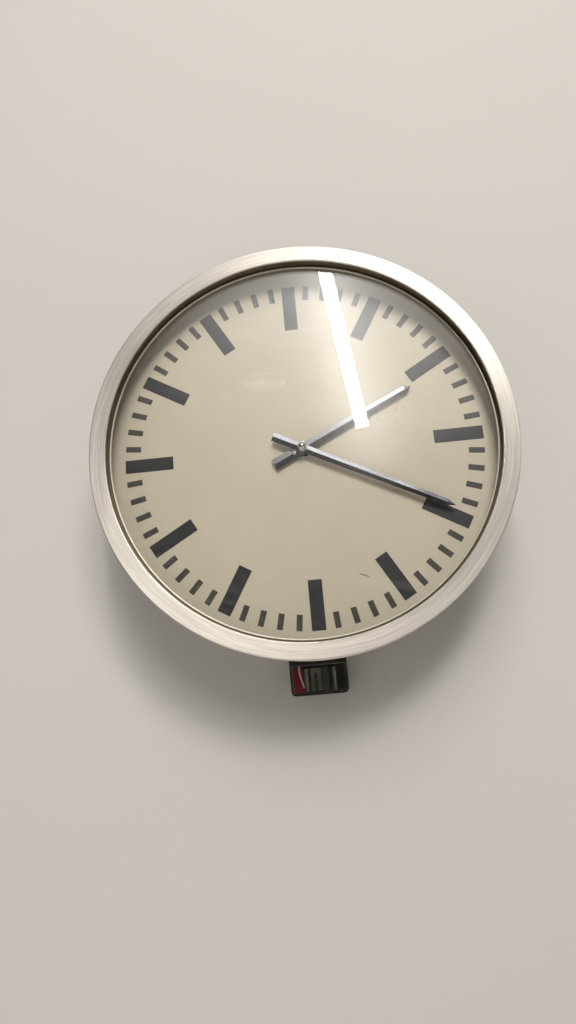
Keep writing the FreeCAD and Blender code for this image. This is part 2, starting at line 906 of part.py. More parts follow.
def make_hands():
    marks_outer = opening - size.mark_inset
    hour_reach = marks_outer - size.hour_mark_length - size.hour_tip_gap
    minute_reach = marks_outer - size.minute_mark_length - size.minute_tip_gap
    rivet_x = -size.hand_rivet_place.value
    hour_blade = blade(
        size.hour_tail.value,
        hour_reach.value,
        size.hour_tail_width.value,
        size.hour_tip_width.value,
        size.hour_point.value,
    )
    minute_blade = blade(
        size.minute_tail.value,
        minute_reach.value,
        size.minute_tail_width.value,
        size.minute_tip_width.value,
        size.minute_point.value,
    )
    hour_bores = [(0.0, hour_pipe_outer.value), (rivet_x, RIVET_SHANK)]
    hand("hour_hand", hour_blade, hour_bores, size.hour_angle.value, hour_blade_low)
    minute_bores = [(0.0, cannon_outer.value)]
    hand("minute_hand", minute_blade, minute_bores, size.minute_angle.value, minute_blade_low)

    # the rivet stands on the hour hand's tail, opposite its point
    turn = math.radians(90.0 - size.hour_angle.value)
    x = -size.hand_rivet_place * math.cos(turn)
    y = -size.hand_rivet_place * math.sin(turn)
    head_low = hour_ridge
    rivet = turned(
        "rivet",
        [
            (ZERO, hour_blade_low),
            (RIVET_SHANK, hour_blade_low),
            (RIVET_SHANK, head_low),
            (size.hand_rivet_radius, head_low),
            (size.hand_rivet_radius, head_low + RIVET_DOME),
            (ZERO, head_low + RIVET_DOME),
        ],
        x,
        y,
    )
    rim = circle_at(size.hand_rivet_radius, head_low + RIVET_DOME)
    round_edges(rivet, "rivet_dome", as_size(RIVET_DOME * 0.8), rim)
    keep(rivet, "hour_hand_rivet")

    collet_gap = size.end_shake
    hour_collet_low = dial_front + size.bush_height + collet_gap
    hour_collet_outer = hour_pipe_outer + COLLET_WALL
    keep(
        ring("hour_collet", hour_pipe_outer, hour_collet_outer, hour_collet_low, hour_blade_low),
        "hour_hand_collet",
    )
    minute_collet_low = hour_ridge + collet_gap
    minute_collet_outer = cannon_outer + COLLET_WALL
    keep(
        ring("minute_collet", cannon_outer, minute_collet_outer, minute_collet_low, minute_blade_low),
        "minute_hand_collet",
    )

    ball_centre = cap_low + size.cap_radius * CAP_SINK
    ball = doc.addObject("Part::Sphere", "cap_ball")
    bind(ball, Radius=size.cap_radius)
    place(ball, ZERO, ZERO, ball_centre)
    under_low = ball_centre - size.cap_radius * 2
    under_height = size.cap_radius * (2 - CAP_SINK)
    under = rod("cap_under", ZERO, ZERO, under_low, under_height, size.cap_radius * 2)
    socket = rod("cap_socket", ZERO, ZERO, cap_low - 1, size.cap_radius + 1, arbor_front)
    keep(cut("cap", ball, under, socket), "hand_cap")


# ---------------------------------------------------------------- gears


def tooth_flank(teeth):
    """Radius and half angle along one tooth flank, root to tip: an involute above its base circle."""
    module = size.gear_module.value
    pressure = math.radians(size.pressure_angle.value)
    pitch = module * teeth / 2
    base = pitch * math.cos(pressure)
    root = pitch - DEDENDUM * module
    tip = pitch + ADDENDUM * module
    at_pitch = math.pi / (2 * teeth) - size.tooth_thinning.value / (2 * pitch)

    def half_angle(radius):
        slant = math.acos(min(1.0, base / radius))
        return at_pitch + (math.tan(pressure) - pressure) - (math.tan(slant) - slant)

    start = max(base, root)
    points = [(root, half_angle(start))] if root < base else []
    for step in range(FLANK_STEPS + 1):
        radius = start + (tip - start) * step / FLANK_STEPS
        points.append((radius, half_angle(radius)))
    return points


def gear_shape(teeth, bore, low, high, phase):
    """A spur gear about the drawing's z, with a tooth centred phase degrees from +x."""
    flank = tooth_flank(teeth)
    corners = []
    for tooth in range(teeth):
        middle = math.radians(phase) + 2 * math.pi * tooth / teeth
        outline = [(radius, middle - half) for radius, half in flank]
        outline += [(radius, middle + half) for radius, half in reversed(flank)]
        for radius, turn in outline:
            corners.append(VECTOR(radius * math.cos(turn), radius * math.sin(turn), low))
    blank = Part.Face(Part.makePolygon(corners + corners[:1]))
    solid = blank.extrude(VECTOR(0, 0, high - low))
    return solid.cut(Part.makeCylinder(bore, high - low + 2, VECTOR(0, 0, low - 1)))


def gear(label, teeth, bore, low, high, phase, x=ZERO, y=ZERO, extra=None):
    """A gear as one sub-part; extra is a shape fused to it, such as its pipe."""
    shape = gear_shape(teeth, bore.value, low.value, high.value, phase)
    if extra is not None:
        shape = shape.fuse(extra).removeSplitter()
    piece = doc.addObject("Part::Feature", label)
    piece.Shape = shape
    place(piece, x, y)
    return keep(piece, label)


def pipe_shape(inner, outer, low, high):
    tube = Part.makeCylinder(outer.value, high.value - low.value, VECTOR(0, 0, low.value))
    return tube.cut(Part.makeCylinder(inner.value, high.value - low.value, VECTOR(0, 0, low.value)))


# heights of the train; wheel faces stand clear of the plates and of each other
centre_wheel_low = rear_plate_top + size.centre_wheel_rise
driving_low = rear_plate_top + size.driving_pinion_rise
intermediate_wheel_low = rear_plate_top + size.intermediate_wheel_rise
rotor_pinion_low = intermediate_wheel_low - (size.pinion_length - size.wheel_sheet) / 2
cannon_low = front_plate_top + size.cannon_gap
cannon_high = cannon_low + size.cannon_length
minute_wheel_low = cannon_low + size.minute_wheel_rise
minute_wheel_high = minute_wheel_low + size.wheel_sheet
hour_wheel_low = cannon_high + size.hour_wheel_gap
hour_wheel_high = hour_wheel_low + size.wheel_sheet
minute_pinion_high = hour_wheel_high + size.minute_pinion_over
MINUTE_WHEEL_BORE = 1.0
CLIP_SPREAD = 2.2
ARBOR_INTO_CAP = 0.75


def make_train():
    bore_fit = size.running_clearance
    # centre arbor: rear pivot, stout middle, long thin front that carries the cannon pinion and the cap
    shoulder_low = rear_plate_top + size.end_shake
    shoulder_high = front_plate_low - size.end_shake
    pivot_low = size.plate_height + size.end_shake
    keep(
        turned(
            "centre",
            [
                (ZERO, pivot_low),
                (size.pivot_radius, pivot_low),
                (size.pivot_radius, shoulder_low),
                (size.arbor_radius, shoulder_low),
                (size.arbor_radius, shoulder_high),
                (arbor_front, shoulder_high),
                (arbor_front, cap_low + size.cap_radius * ARBOR_INTO_CAP),
                (ZERO, cap_low + size.cap_radius * ARBOR_INTO_CAP),
            ],
        ),
        "centre_arbor",
    )
    gear(
        "centre_wheel",
        CENTRE_TEETH,
        size.arbor_radius,
        centre_wheel_low,
        centre_wheel_low + size.wheel_sheet,
        -90 + 180 / CENTRE_TEETH,
    )
    cannon_pipe = pipe_shape(arbor_front, cannon_outer, cannon_high, cannon_top)
    gear("cannon_pinion", CANNON_TEETH, arbor_front, cannon_low, cannon_high, 0, extra=cannon_pipe)
    hour_pipe = pipe_shape(hour_pipe_inner, hour_pipe_outer, hour_wheel_high, hour_pipe_top)
    gear(
        "hour_wheel",
        HOUR_WHEEL_TEETH,
        hour_pipe_inner,
        hour_wheel_low,
        hour_wheel_high,
        180 / HOUR_WHEEL_TEETH,
        extra=hour_pipe,
    )

    # the minute wheel and its pinion are one piece, which turns on a fixed post in the front plate
    post = as_size(MINUTE_WHEEL_BORE)
    post_room = post + bore_fit
    pinion = gear_shape(
        MINUTE_PINION_TEETH, post_room.value, minute_wheel_high.value, minute_pinion_high.value, 180
    )
    gear(
        "minute_wheel",
        MINUTE_WHEEL_TEETH,
        post_room,
        minute_wheel_low,
        minute_wheel_high,
        180 + 180 / MINUTE_WHEEL_TEETH,
        x=motion_distance,
        extra=pinion,
    )
    post_length = minute_pinion_high + size.post_over - front_plate_low
    keep(rod("post", motion_distance, ZERO, front_plate_low, post_length, post), "minute_wheel_post")
    clip_low = minute_pinion_high + size.end_shake
    clip = ring("clip", post, post * CLIP_SPREAD, clip_low, clip_low + size.clip_sheet, motion_distance)
    keep(clip, "post_clip")

    # intermediate and rotor arbors with a pivot at each end
    pivot_high = front_plate_top - size.end_shake

    def arbor(name, y, label):
        profile = [
            (ZERO, pivot_low),
            (size.pivot_radius, pivot_low),
            (size.pivot_radius, shoulder_low),
            (size.thin_arbor_radius, shoulder_low),
            (size.thin_arbor_radius, shoulder_high),
            (size.pivot_radius, shoulder_high),
            (size.pivot_radius, pivot_high),
            (ZERO, pivot_high),
        ]
        keep(turned(name, profile, ZERO, y), label)

    arbor("intermediate", intermediate_y, "intermediate_arbor")
    gear(
        "intermediate_pinion",
        DRIVING_PINION_TEETH,
        size.thin_arbor_radius,
        driving_low,
        driving_low + size.pinion_length,
        90,
        y=intermediate_y,
    )
    gear(
        "intermediate_wheel",
        INTERMEDIATE_TEETH,
        size.thin_arbor_radius,
        intermediate_wheel_low,
        intermediate_wheel_low + size.wheel_sheet,
        -90 + 180 / INTERMEDIATE_TEETH,
        y=intermediate_y,
    )
    arbor("rotor", rotor_y, "rotor_arbor")
    gear(
        "rotor_pinion",
        ROTOR_PINION_TEETH,
        size.thin_arbor_radius,
        rotor_pinion_low,
        rotor_pinion_low + size.pinion_length,
        90,
        y=rotor_y,
    )


# ---------------------------------------------------------------- movement frame

pillar_x = size.front_half_width - size.pillar_inset
pillar_top_y = size.front_top - size.pillar_inset
pillar_low_y = front_bottom + size.pillar_inset
standoff_x = size.front_half_width + size.rear_margin_x / 2
standoff_top_y = size.front_top + size.rear_margin_y / 4
standoff_low_y = front_bottom - size.rear_margin_y / 4
pole_low = rear_plate_top + size.pole_rise
pole_top = pole_low + size.pole_sheet
pole_screw_x = size.pole_half_width - size.pole_screw_inset
pole_screw_top_y = rotor_y + size.pole_screw_rise
PILLAR_TAP = 6.0
STANDOFF_TAP = 8.0


def four_places(x, top, bottom):
    return [(x, top), (-x, top), (-x, bottom), (x, bottom)]


def make_movement_frame():
    bush_places = [(ZERO, ZERO), (ZERO, intermediate_y), (ZERO, rotor_y)]
    bush_holes = [(x, y, size.bush_radius) for x, y in bush_places]
    pillars = four_places(pillar_x, pillar_top_y, pillar_low_y)
    standoffs = four_places(standoff_x, standoff_top_y, standoff_low_y)
    stator_screws = four_places(pole_screw_x, pole_screw_top_y, coil_y)

    rear_half = size.front_half_width + size.rear_margin_x
    rear_outline = box_corners(
        -rear_half, front_bottom - size.rear_margin_y, rear_half, size.front_top + size.rear_margin_y
    )
    rear_holes = bush_holes + [(x, y, size.screw_radius) for x, y in standoffs + stator_screws]
    rear = plate("rear_plate", rear_outline, size.plate_height, size.plate_sheet, rear_holes)
    keep(rear, "movement_rear_plate")

    front_outline = box_corners(
        -size.front_half_width, front_bottom, size.front_half_width, size.front_top
    )
    front_holes = bush_holes + [(x, y, size.screw_radius) for x, y in pillars]
    front_holes.append((motion_distance, ZERO, as_size(MINUTE_WHEEL_BORE)))
    front = plate("front_plate", front_outline, front_plate_low, size.plate_sheet, front_holes)
    keep(front, "movement_front_plate")

    bars, screws = [], []
    for i, (x, y) in enumerate(pillars):
        bar = rod(f"pillar_bar_{i}", x, y, rear_plate_top, size.plate_space, size.pillar_radius)
        tap_low = front_plate_low - PILLAR_TAP
        tap = rod(f"pillar_tap_{i}", x, y, tap_low, as_size(PILLAR_TAP + 1), size.screw_radius)
        bars.append(cut(f"pillar_{i}", bar, tap))
        reach = size.plate_sheet + PILLAR_TAP - 1
        screws.append(slotted_screw(f"plate_screw_{i}", x, y, front_plate_top, reach))
    group("movement_pillars", bars)
    group("plate_screws", screws)

    bars, screws = [], []
    standoff_length = size.plate_height - size.case_sheet
    for i, (x, y) in enumerate(standoffs):
        bar = rod(f"standoff_bar_{i}", x, y, size.case_sheet, standoff_length, size.standoff_radius)
        tap_low = size.plate_height - STANDOFF_TAP
        tap = rod(f"standoff_tap_{i}", x, y, tap_low, as_size(STANDOFF_TAP + 1), size.screw_radius)
        bars.append(cut(f"standoff_{i}", bar, tap))
        reach = size.plate_sheet + STANDOFF_TAP - 1
        screws.append(slotted_screw(f"movement_screw_{i}", x, y, rear_plate_top, reach))
    group("movement_standoffs", bars)
    group("movement_screws", screws)

    pivot_bore = size.pivot_radius + size.running_clearance
    front_bore = size.centre_front_radius + size.running_clearance
    bushes = []
    for i, (x, y) in enumerate(bush_places):
        bore = front_bore if i == 0 else pivot_bore
        for name, hole, low, high in (
            ("rear", pivot_bore, size.plate_height, rear_plate_top),
            ("front", bore, front_plate_low, front_plate_top),
        ):
            bushes.append(ring(f"{name}_bush_{i}", hole, size.bush_radius, low, high, x, y))
    group("bearing_bushes", bushes)


# ---------------------------------------------------------------- stepping motor

COIL_CHEEK = 1.0
CORE_SLACK = 0.1


def pole_outline(side):
    """One half of the stator: a jaw beside the rotor and a leg beside the coil."""
    inner = size.pole_split * side
    outer = size.pole_half_width * side
    leg = (size.coil_half_length + 1) * side
    jaw_top = rotor_y + size.rotor_radius + size.jaw_over
    jaw_low = coil_y + size.coil_flange + size.jaw_gap
    leg_low = coil_y - size.leg_under
    return [
        (inner, jaw_top),
        (outer, jaw_top),
        (outer, leg_low),
        (leg, leg_low),
        (leg, jaw_low),
        (inner, jaw_low),
    ]


def make_motor():
    stator_places = four_places(pole_screw_x, pole_screw_top_y, coil_y)
    poles = []
    for side, name in ((1, "right"), (-1, "left")):
        screw_holes = [(x, y, size.screw_radius) for x, y in stator_places if x.value * side > 0]
        blank = plate(f"pole_{name}", pole_outline(side), pole_low, size.pole_sheet, screw_holes)
        room_radius = size.rotor_radius + size.air_gap
        rotor_room = rod(
            f"rotor_room_{name}", ZERO, rotor_y, pole_low - 1, size.pole_sheet + 2, room_radius
        )
        poles.append(cut(f"stator_{name}", blank, rotor_room))
    group("stator_poles", poles)

    core_outline = box_corners(
        -size.pole_half_width,
        coil_y - size.core_width / 2,
        size.pole_half_width,
        coil_y + size.core_width / 2,
    )
    core_holes = [(side * pole_screw_x, coil_y, size.screw_radius) for side in (1, -1)]
    keep(plate("core", core_outline, pole_top, size.core_height, core_holes), "coil_core")

    core_top = pole_top + size.core_height
    screws, spacers = [], []
    for i, (x, y) in enumerate(stator_places):
        seat = core_top if y is coil_y else pole_top
        screws.append(slotted_screw(f"stator_screw_{i}", x, y, seat, seat - size.plate_height))
        spacer_name = f"stator_spacer_{i}"
        spacers.append(
            ring(spacer_name, size.screw_radius, size.pillar_radius, rear_plate_top, pole_low, x, y)
        )
    group("stator_screws", screws)
    group("stator_spacers", spacers)

    # bobbin on the core, with its two cheeks, and the winding between them
    coil_height = pole_top + size.core_height / 2
    cheek = COIL_CHEEK
    half = size.coil_half_length
    slack = CORE_SLACK
    core_room = block(
        "bobbin_room",
        -half - 1,
        coil_y - size.core_width / 2 - slack,
        coil_height - size.core_height / 2 - slack,
        half * 2 + 2,
        size.core_width + 2 * slack,
        size.core_height + 2 * slack,
    )
    hub = lying_rod("bobbin_hub", -half, coil_y, coil_height, half * 2, size.coil_hub)
    left = lying_rod("bobbin_left", -half, coil_y, coil_height, as_size(cheek), size.coil_flange)
    right = lying_rod("bobbin_right", half - cheek, coil_y, coil_height, as_size(cheek), size.coil_flange)
    keep(cut("bobbin", fuse("bobbin_body", hub, left, right), core_room), "coil_bobbin")
    winding_length = half * 2 - 2 * cheek
    start = -half + cheek
    solid = lying_rod("winding_solid", start, coil_y, coil_height, winding_length, size.coil_radius)
    inside = lying_rod("winding_inside", -half, coil_y, coil_height, half * 2, size.coil_hub)
    keep(cut("winding", solid, inside), "coil_winding")

    rotor_low = pole_low - (size.rotor_length - size.pole_sheet) / 2
    keep(
        ring(
            "magnet",
            size.thin_arbor_radius,
            size.rotor_radius,
            rotor_low,
            rotor_low + size.rotor_length,
            ZERO,
            rotor_y,
        ),
        "rotor_magnet",
    )


# ---------------------------------------------------------------- connection box

box_left = size.box_shift - size.box_half_width
box_right = size.box_shift + size.box_half_width
box_low_y = -pan_outer - size.box_drop
box_floor_top = size.box_floor_height + size.box_floor
box_top_height = size.box_floor_height + size.box_depth
saddle_low_y = -pan_outer - size.box_saddle
block_low_y = box_low_y + size.box_wall + size.block_margin_low
block_top_y = saddle_low_y - size.block_margin_top
BLOCK_LEFT = -11.5
BLOCK_RIGHT = 13.6
BLOCK_HEIGHT = 12.0
BLOCK_THICKNESS = 8.0
RED_LEFT = -20.1
RED_WIDTH = 8.0
RED_THICKNESS = 14.0
CLAMP_PLACES = ((-10.2, 1.6), (11.7, 1.3))
STRAP_LEFT = -6.6
STRAP_WIDTH = 8.0
STRAP_SLOT = 2.6
STRAP_SHEET = 2.0
STRAP_MARGIN = 0.4
STRAP_BRIDGE = 4.4
CLAMP_MARGIN = 0.6
CLAMP_SCREW_INSET = 3.2
CLAMP_SCREW_RADIUS = 0.7
CLAMP_SCREW_HEAD = 1.4
CLAMP_SCREW_SINK = 0.8
LEG_PLACES = (-8.5, 9.0)
LEG_RADIUS = 2.0
LEG_INSET = 3.0
GROOVE_LEFT = 7.3
GROOVE_WIDTH = 3.1
GROOVE_FLOOR = 3.0
LINE_HOLE_PLACE = (2.0, 10.0)
GROMMET_SPREAD = 3.1
LEAD_ROOM = 0.05
BOX_SCREW_SHORT = 0.6
FLANGE_HEIGHT = 3.2
CASE_OVERLAP = 6.0


def grommet_holes(name, low_y, length):
    hole = size.lead_radius + LEAD_ROOM
    return [
        rising_rod(f"{name}_{i}", grommet_x, low_y, grommet_height + side * GROMMET_SPREAD, length, hole)
        for i, side in enumerate((-1, 1))
    ]


def make_box():
    width = size.box_half_width * 2
    line_x = size.box_shift + LINE_HOLE_PLACE[0]
    line_y = box_low_y + LINE_HOLE_PLACE[1]
    grommet_outer = size.line_hole + size.line_bush_wall
    outer_sides = (box_left, box_right)

    # base: a floor beside the wall and a saddle that fits the underside of the case
    floor = plate(
        "box_floor",
        box_corners(box_left, box_low_y, box_right, -pan_outer + CASE_OVERLAP),
        size.box_floor_height,
        size.box_floor,
        [(line_x, line_y, grommet_outer)],
    )
    round_edges(floor, "box_floor_corners", size.box_corner, upright_edges(outer_sides, (box_low_y,)))
    saddle = block(
        "box_saddle",
        box_left,
        saddle_low_y,
        size.box_floor_height,
        width,
        size.box_saddle + 6,
        size.box_depth,
    )
    case_room = rod("box_case_room", ZERO, ZERO, ZERO, size.case_height, pan_outer + size.box_gap)
    saddle_below = saddle_low_y - 1
    saddle_through = size.box_saddle + 8
    lead_hole = rising_rod(
        "saddle_lead_hole", grommet_x, saddle_below, grommet_height, saddle_through, size.grommet_radius
    )
    tools = [case_room, lead_hole]
    bore = as_size(BOX_SCREW_RADIUS)
    for i, place_x in enumerate(BOX_SCREW_PLACES):
        tools.append(box_screw_rod(f"saddle_hole_{i}", place_x, saddle_below, saddle_through, bore))
    keep(cut("box_base", fuse("box_base_blank", floor, saddle), *tools), "terminal_box_base")

    # cover: front and three sides, open towards the wall and under the saddle
    cover = plate(
        "cover_blank",
        box_corners(box_left, box_low_y, box_right, saddle_low_y),
        box_floor_top,
        box_top_height - box_floor_top,
    )
    round_edges(cover, "cover_corners", size.box_corner, upright_edges(outer_sides, (box_low_y,)))
    inner_low = box_low_y + size.box_wall
    inner_sides = (box_left + size.box_wall, box_right - size.box_wall)
    inner = plate(
        "cover_room",
        box_corners(inner_sides[0], inner_low, inner_sides[1], saddle_low_y + 1),
        box_floor_top - 1,
        box_top_height - box_floor_top + 1 - size.box_wall,
    )
    inner_corner = size.box_corner - size.box_wall
    round_edges(inner, "cover_room_corners", inner_corner, upright_edges(inner_sides, (inner_low,)))
    keep(cut("cover", cover, inner), "terminal_box_cover")

    keep(
        ring(
            "line_bush", size.line_hole, grommet_outer, size.box_floor_height, box_floor_top, line_x, line_y
        ),
        "line_grommet",
    )

    # two screws from inside the case into the saddle
    screws = []
    for i, place_x in enumerate(BOX_SCREW_PLACES):
        x = size.box_shift.value + place_x
        seat = -math.sqrt(pan_inner.value**2 - (abs(x) + BOX_SCREW_HEAD) ** 2)
        seat_y = -pan_inner + (seat + pan_inner.value)
        low = saddle_low_y + BOX_SCREW_SHORT
        shank = box_screw_rod(f"box_shank_{i}", place_x, low, seat_y - low, bore)
        head_height, head_radius = as_size(BOX_SCREW_HEAD_HEIGHT), as_size(BOX_SCREW_HEAD)
        head = box_screw_rod(f"box_head_{i}", place_x, seat_y, head_height, head_radius)
        screws.append(fuse(f"box_screw_{i}", shank, head))
    group("box_screws", screws)

    # rubber bush that carries the two leads through case and saddle
    flange_top = -pan_inner + FLANGE_HEIGHT
    bush_length = flange_top - saddle_low_y
    inside = rod("grommet_case", ZERO, ZERO, ZERO, size.case_height, pan_inner)
    flange_radius = size.grommet_radius + size.grommet_flange
    wide = rising_rod(
        "grommet_wide", grommet_x, saddle_low_y, grommet_height, bush_length, flange_radius
    )
    flange = common("grommet_flange", wide, inside)
    stem = rising_rod(
        "grommet_stem", grommet_x, saddle_low_y, grommet_height, bush_length, size.grommet_radius
    )
    holes = grommet_holes("grommet_hole", saddle_low_y - 1, bush_length + 2)
    keep(cut("grommet", fuse("grommet_body", stem, flange), *holes), "lead_grommet")


def make_terminals():
    length = block_top_y - block_low_y
    body = block(
        "strip_body",
        size.box_shift + BLOCK_LEFT,
        block_low_y,
        as_size(BLOCK_HEIGHT),
        as_size(BLOCK_RIGHT - BLOCK_LEFT),
        length,
        as_size(BLOCK_THICKNESS),
    )
    leg_length = BLOCK_HEIGHT - box_floor_top + 1
    leg_y = block_top_y - LEG_INSET
    legs = [
        rod(f"strip_leg_{i}", size.box_shift + x, leg_y, box_floor_top, leg_length, as_size(LEG_RADIUS))
        for i, x in enumerate(LEG_PLACES)
    ]
    groove = block(
        "strip_groove",
        size.box_shift + GROOVE_LEFT,
        block_low_y - 1,
        as_size(BLOCK_HEIGHT + GROOVE_FLOOR),
        as_size(GROOVE_WIDTH),
        length + 2,
        as_size(BLOCK_THICKNESS),
    )
    keep(cut("strip", fuse("strip_blank", body, *legs), groove), "terminal_block")

    keep(
        block(
            "red_pole",
            size.box_shift + RED_LEFT,
            block_low_y,
            box_floor_top,
            as_size(RED_WIDTH),
            saddle_low_y - size.red_margin_top - block_low_y,
            as_size(RED_THICKNESS),
        ),
        "terminal_block_red",
    )

    # two wire tubes with small screws, and a slotted strap between them
    block_front = BLOCK_HEIGHT + BLOCK_THICKNESS
    screw_places = (block_low_y + CLAMP_SCREW_INSET, block_top_y - CLAMP_SCREW_INSET)
    sink, shank, head = as_size(CLAMP_SCREW_SINK), as_size(CLAMP_SCREW_RADIUS), as_size(CLAMP_SCREW_HEAD)
    clamps, screws = [], []
    for i, (x, radius) in enumerate(CLAMP_PLACES):
        place_x = size.box_shift + x
        tube_low = block_low_y + CLAMP_MARGIN
        middle = as_size(block_front + radius)
        tube_length = length - 2 * CLAMP_MARGIN
        tube = rising_rod(f"clamp_{i}", place_x, tube_low, middle, tube_length, as_size(radius))
        seat = as_size(block_front + 2 * radius)
        taps = []
        for j, y in enumerate(screw_places):
            screws.append(slotted_screw(f"clamp_screw_{i}_{j}", place_x, y, seat, sink, shank, head))
            taps.append(rod(f"clamp_tap_{i}_{j}", place_x, y, seat - sink, sink + 1, shank))
        clamps.append(cut(f"clamp_tapped_{i}", tube, *taps))
    strap = block(
        "strap_body",
        size.box_shift + STRAP_LEFT,
        block_low_y + STRAP_MARGIN,
        as_size(block_front),
        as_size(STRAP_WIDTH),
        length - 2 * STRAP_MARGIN,
        as_size(STRAP_SHEET),
    )
    slot_left = size.box_shift + STRAP_LEFT + (STRAP_WIDTH - STRAP_SLOT) / 2
    slot_low = block_low_y - 1
    slot_length = length - STRAP_BRIDGE
    below, through = as_size(block_front - 1), as_size(STRAP_SHEET + 2)
    slot = block("strap_slot", slot_left, slot_low, below, as_size(STRAP_SLOT), slot_length, through)
    slot_radius = as_size(STRAP_SLOT / 2)
    slot_end = rod(
        "strap_slot_end", slot_left + slot_radius, slot_low + slot_length, below, through, slot_radius
    )
    clamps.append(cut("strap", strap, slot, slot_end))
    group("terminal_clamps", clamps)
    group("terminal_screws", screws)


# ---------------------------------------------------------------- leads

ARC_SHARE = 0.45


def route_wire(points):
    """Straight runs joined by tangent arcs, each as large as its two runs allow."""
    edges, radii = [], []
    start = points[0]
    for before, corner, after in zip(points, points[1:], points[2:]):
        into = (corner - before)
        out = (after - corner)
        shorter = min(into.Length, out.Length)
        into.normalize()
        out.normalize()
        half_turn = into.getAngle(out) / 2
        reach = ARC_SHARE * shorter
        arc_start = corner - into * reach
        arc_end = corner + out * reach
        radius = reach / math.tan(half_turn)
        radii.append(radius)
        bulge = (out - into)
        bulge.normalize()
        centre = corner + bulge * (radius / math.cos(half_turn))
        middle = centre - bulge * radius
        edges.append(Part.LineSegment(start, arc_start).toShape())
        edges.append(Part.Arc(arc_start, middle, arc_end).toShape())
        start = arc_end
    edges.append(Part.LineSegment(start, points[-1]).toShape())
    return Part.Wire(edges), radii


def lead(label, points):
    """An insulated lead along its route, drawn as x right, y up and z above the wall."""
    wire, radii = route_wire([VECTOR(*point) for point in points])
    radius = size.lead_radius.value
    section = Part.Wire(Part.Circle(VECTOR(*points[0]), wire.Edges[0].tangentAt(0), radius).toShape())
    solid = wire.makePipeShell([section], True, False)
    expected = math.pi * radius**2 * wire.Length
    if abs(solid.Volume - expected) > 0.01 * expected:
        raise ValueError(f"{label} volume {solid.Volume:.1f}, expected {expected:.1f}")
    print(label, "length", round(wire.Length, 1), "arc radii", [round(value, 1) for value in radii])
    piece = doc.addObject("Part::Feature", label)
    piece.Shape = solid
    place(piece)
    return keep(piece, label)


def make_leads():
    """Both leads leave the bobbin's cheeks, run down inside the case and pass the bush into the box."""
    coil_height = (pole_top + size.core_height / 2).value
    start_y = (coil_y - size.coil_flange).value - 0.2
    start_x = size.coil_half_length.value - 0.5
    x = grommet_x.value
    near = grommet_height.value - GROMMET_SPREAD
    far = grommet_height.value + GROMMET_SPREAD
    case_low = -pan_inner.value
    red_end = (saddle_low_y - size.red_margin_top).value
    lead(
        "lead_red",
        [
            (-start_x, start_y, coil_height),
            (-start_x - 0.5, start_y - 20, coil_height - 2),
            (-14.5, case_low + 52, 25),
            (-18.0, case_low + 31, near + 2),
            (x, case_low + 13, near),
            (x, red_end, near),
        ],
    )
    clamp_x = size.box_shift.value + CLAMP_PLACES[0][0] - CLAMP_PLACES[0][1]
    lead(
        "lead_white",
        [
            (start_x, start_y, coil_height),
            (start_x - 2, start_y - 20, coil_height - 1),
            (1.0, case_low + 52, 31),
            (-12.0, case_low + 31, far + 2),
            (x, case_low + 13, far),
            (x, saddle_low_y.value - 6.5, far),
            (clamp_x - 0.6, block_low_y.value + 3.4, far),
        ],
    )


# ---------------------------------------------------------------- build, check and write

make_bezel_parts()
make_case()
make_dial()
make_marks()
make_hands()
make_train()
make_movement_frame()
make_motor()
make_box()
make_terminals()
make_leads()
doc.recompute()

faults = [thing.Name for thing in doc.Objects if {"Invalid", "Error"} & set(thing.State)]
for piece in nodes:
    if piece.Shape.isNull() or not piece.Shape.isValid() or not piece.Shape.Solids:
        faults.append(piece.Label)
if faults:
    raise ValueError(f"failed: {faults}")

os.makedirs("parts", exist_ok=True)
for piece in nodes:
    piece.Shape.exportStep(f"parts/{piece.Label}.step")
print(len(nodes), "nodes written")
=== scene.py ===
import json
import math

import bpy
from mathutils import Matrix, Vector


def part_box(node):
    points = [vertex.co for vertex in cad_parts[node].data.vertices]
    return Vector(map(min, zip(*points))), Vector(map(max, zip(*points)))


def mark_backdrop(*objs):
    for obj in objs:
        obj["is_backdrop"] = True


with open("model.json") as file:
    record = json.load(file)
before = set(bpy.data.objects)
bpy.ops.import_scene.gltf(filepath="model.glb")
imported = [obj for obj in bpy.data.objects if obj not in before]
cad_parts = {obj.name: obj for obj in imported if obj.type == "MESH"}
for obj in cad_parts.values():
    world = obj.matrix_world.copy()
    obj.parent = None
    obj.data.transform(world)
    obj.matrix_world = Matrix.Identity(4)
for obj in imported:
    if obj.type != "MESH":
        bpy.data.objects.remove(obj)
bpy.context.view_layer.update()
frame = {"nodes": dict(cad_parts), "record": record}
nodes = frame["nodes"]
record = frame["record"]

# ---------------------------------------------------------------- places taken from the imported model

DIAL_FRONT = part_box("dial_plate")[0].y
BEZEL_LOW, BEZEL_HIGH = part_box("bezel_ring")
RING_RADIUS = (BEZEL_HIGH.x - BEZEL_LOW.x) / 2
# the bezel's flat face ends at this radius, where its wall turns in towards the glass
INNER_WALL = RING_RADIUS - 0.013
WALL_GAP = 0.0006
FLOOR_DROP = 0.85
TINY = 1e-6
# points of a hand that lie within this of its far end are its tip
HAND_TIP = 0.001


def angle_of_hand(node):
    """The hand's angle clockwise from 12, from the middle of its points far from the axis."""
    points = [v.co for v in nodes[node].data.vertices]
    reach = max(math.hypot(p.x, p.z) for p in points)
    far = [p for p in points if math.hypot(p.x, p.z) > reach - HAND_TIP]
    return math.atan2(sum(p.x for p in far), sum(p.z for p in far))


# ---------------------------------------------------------------- node trees


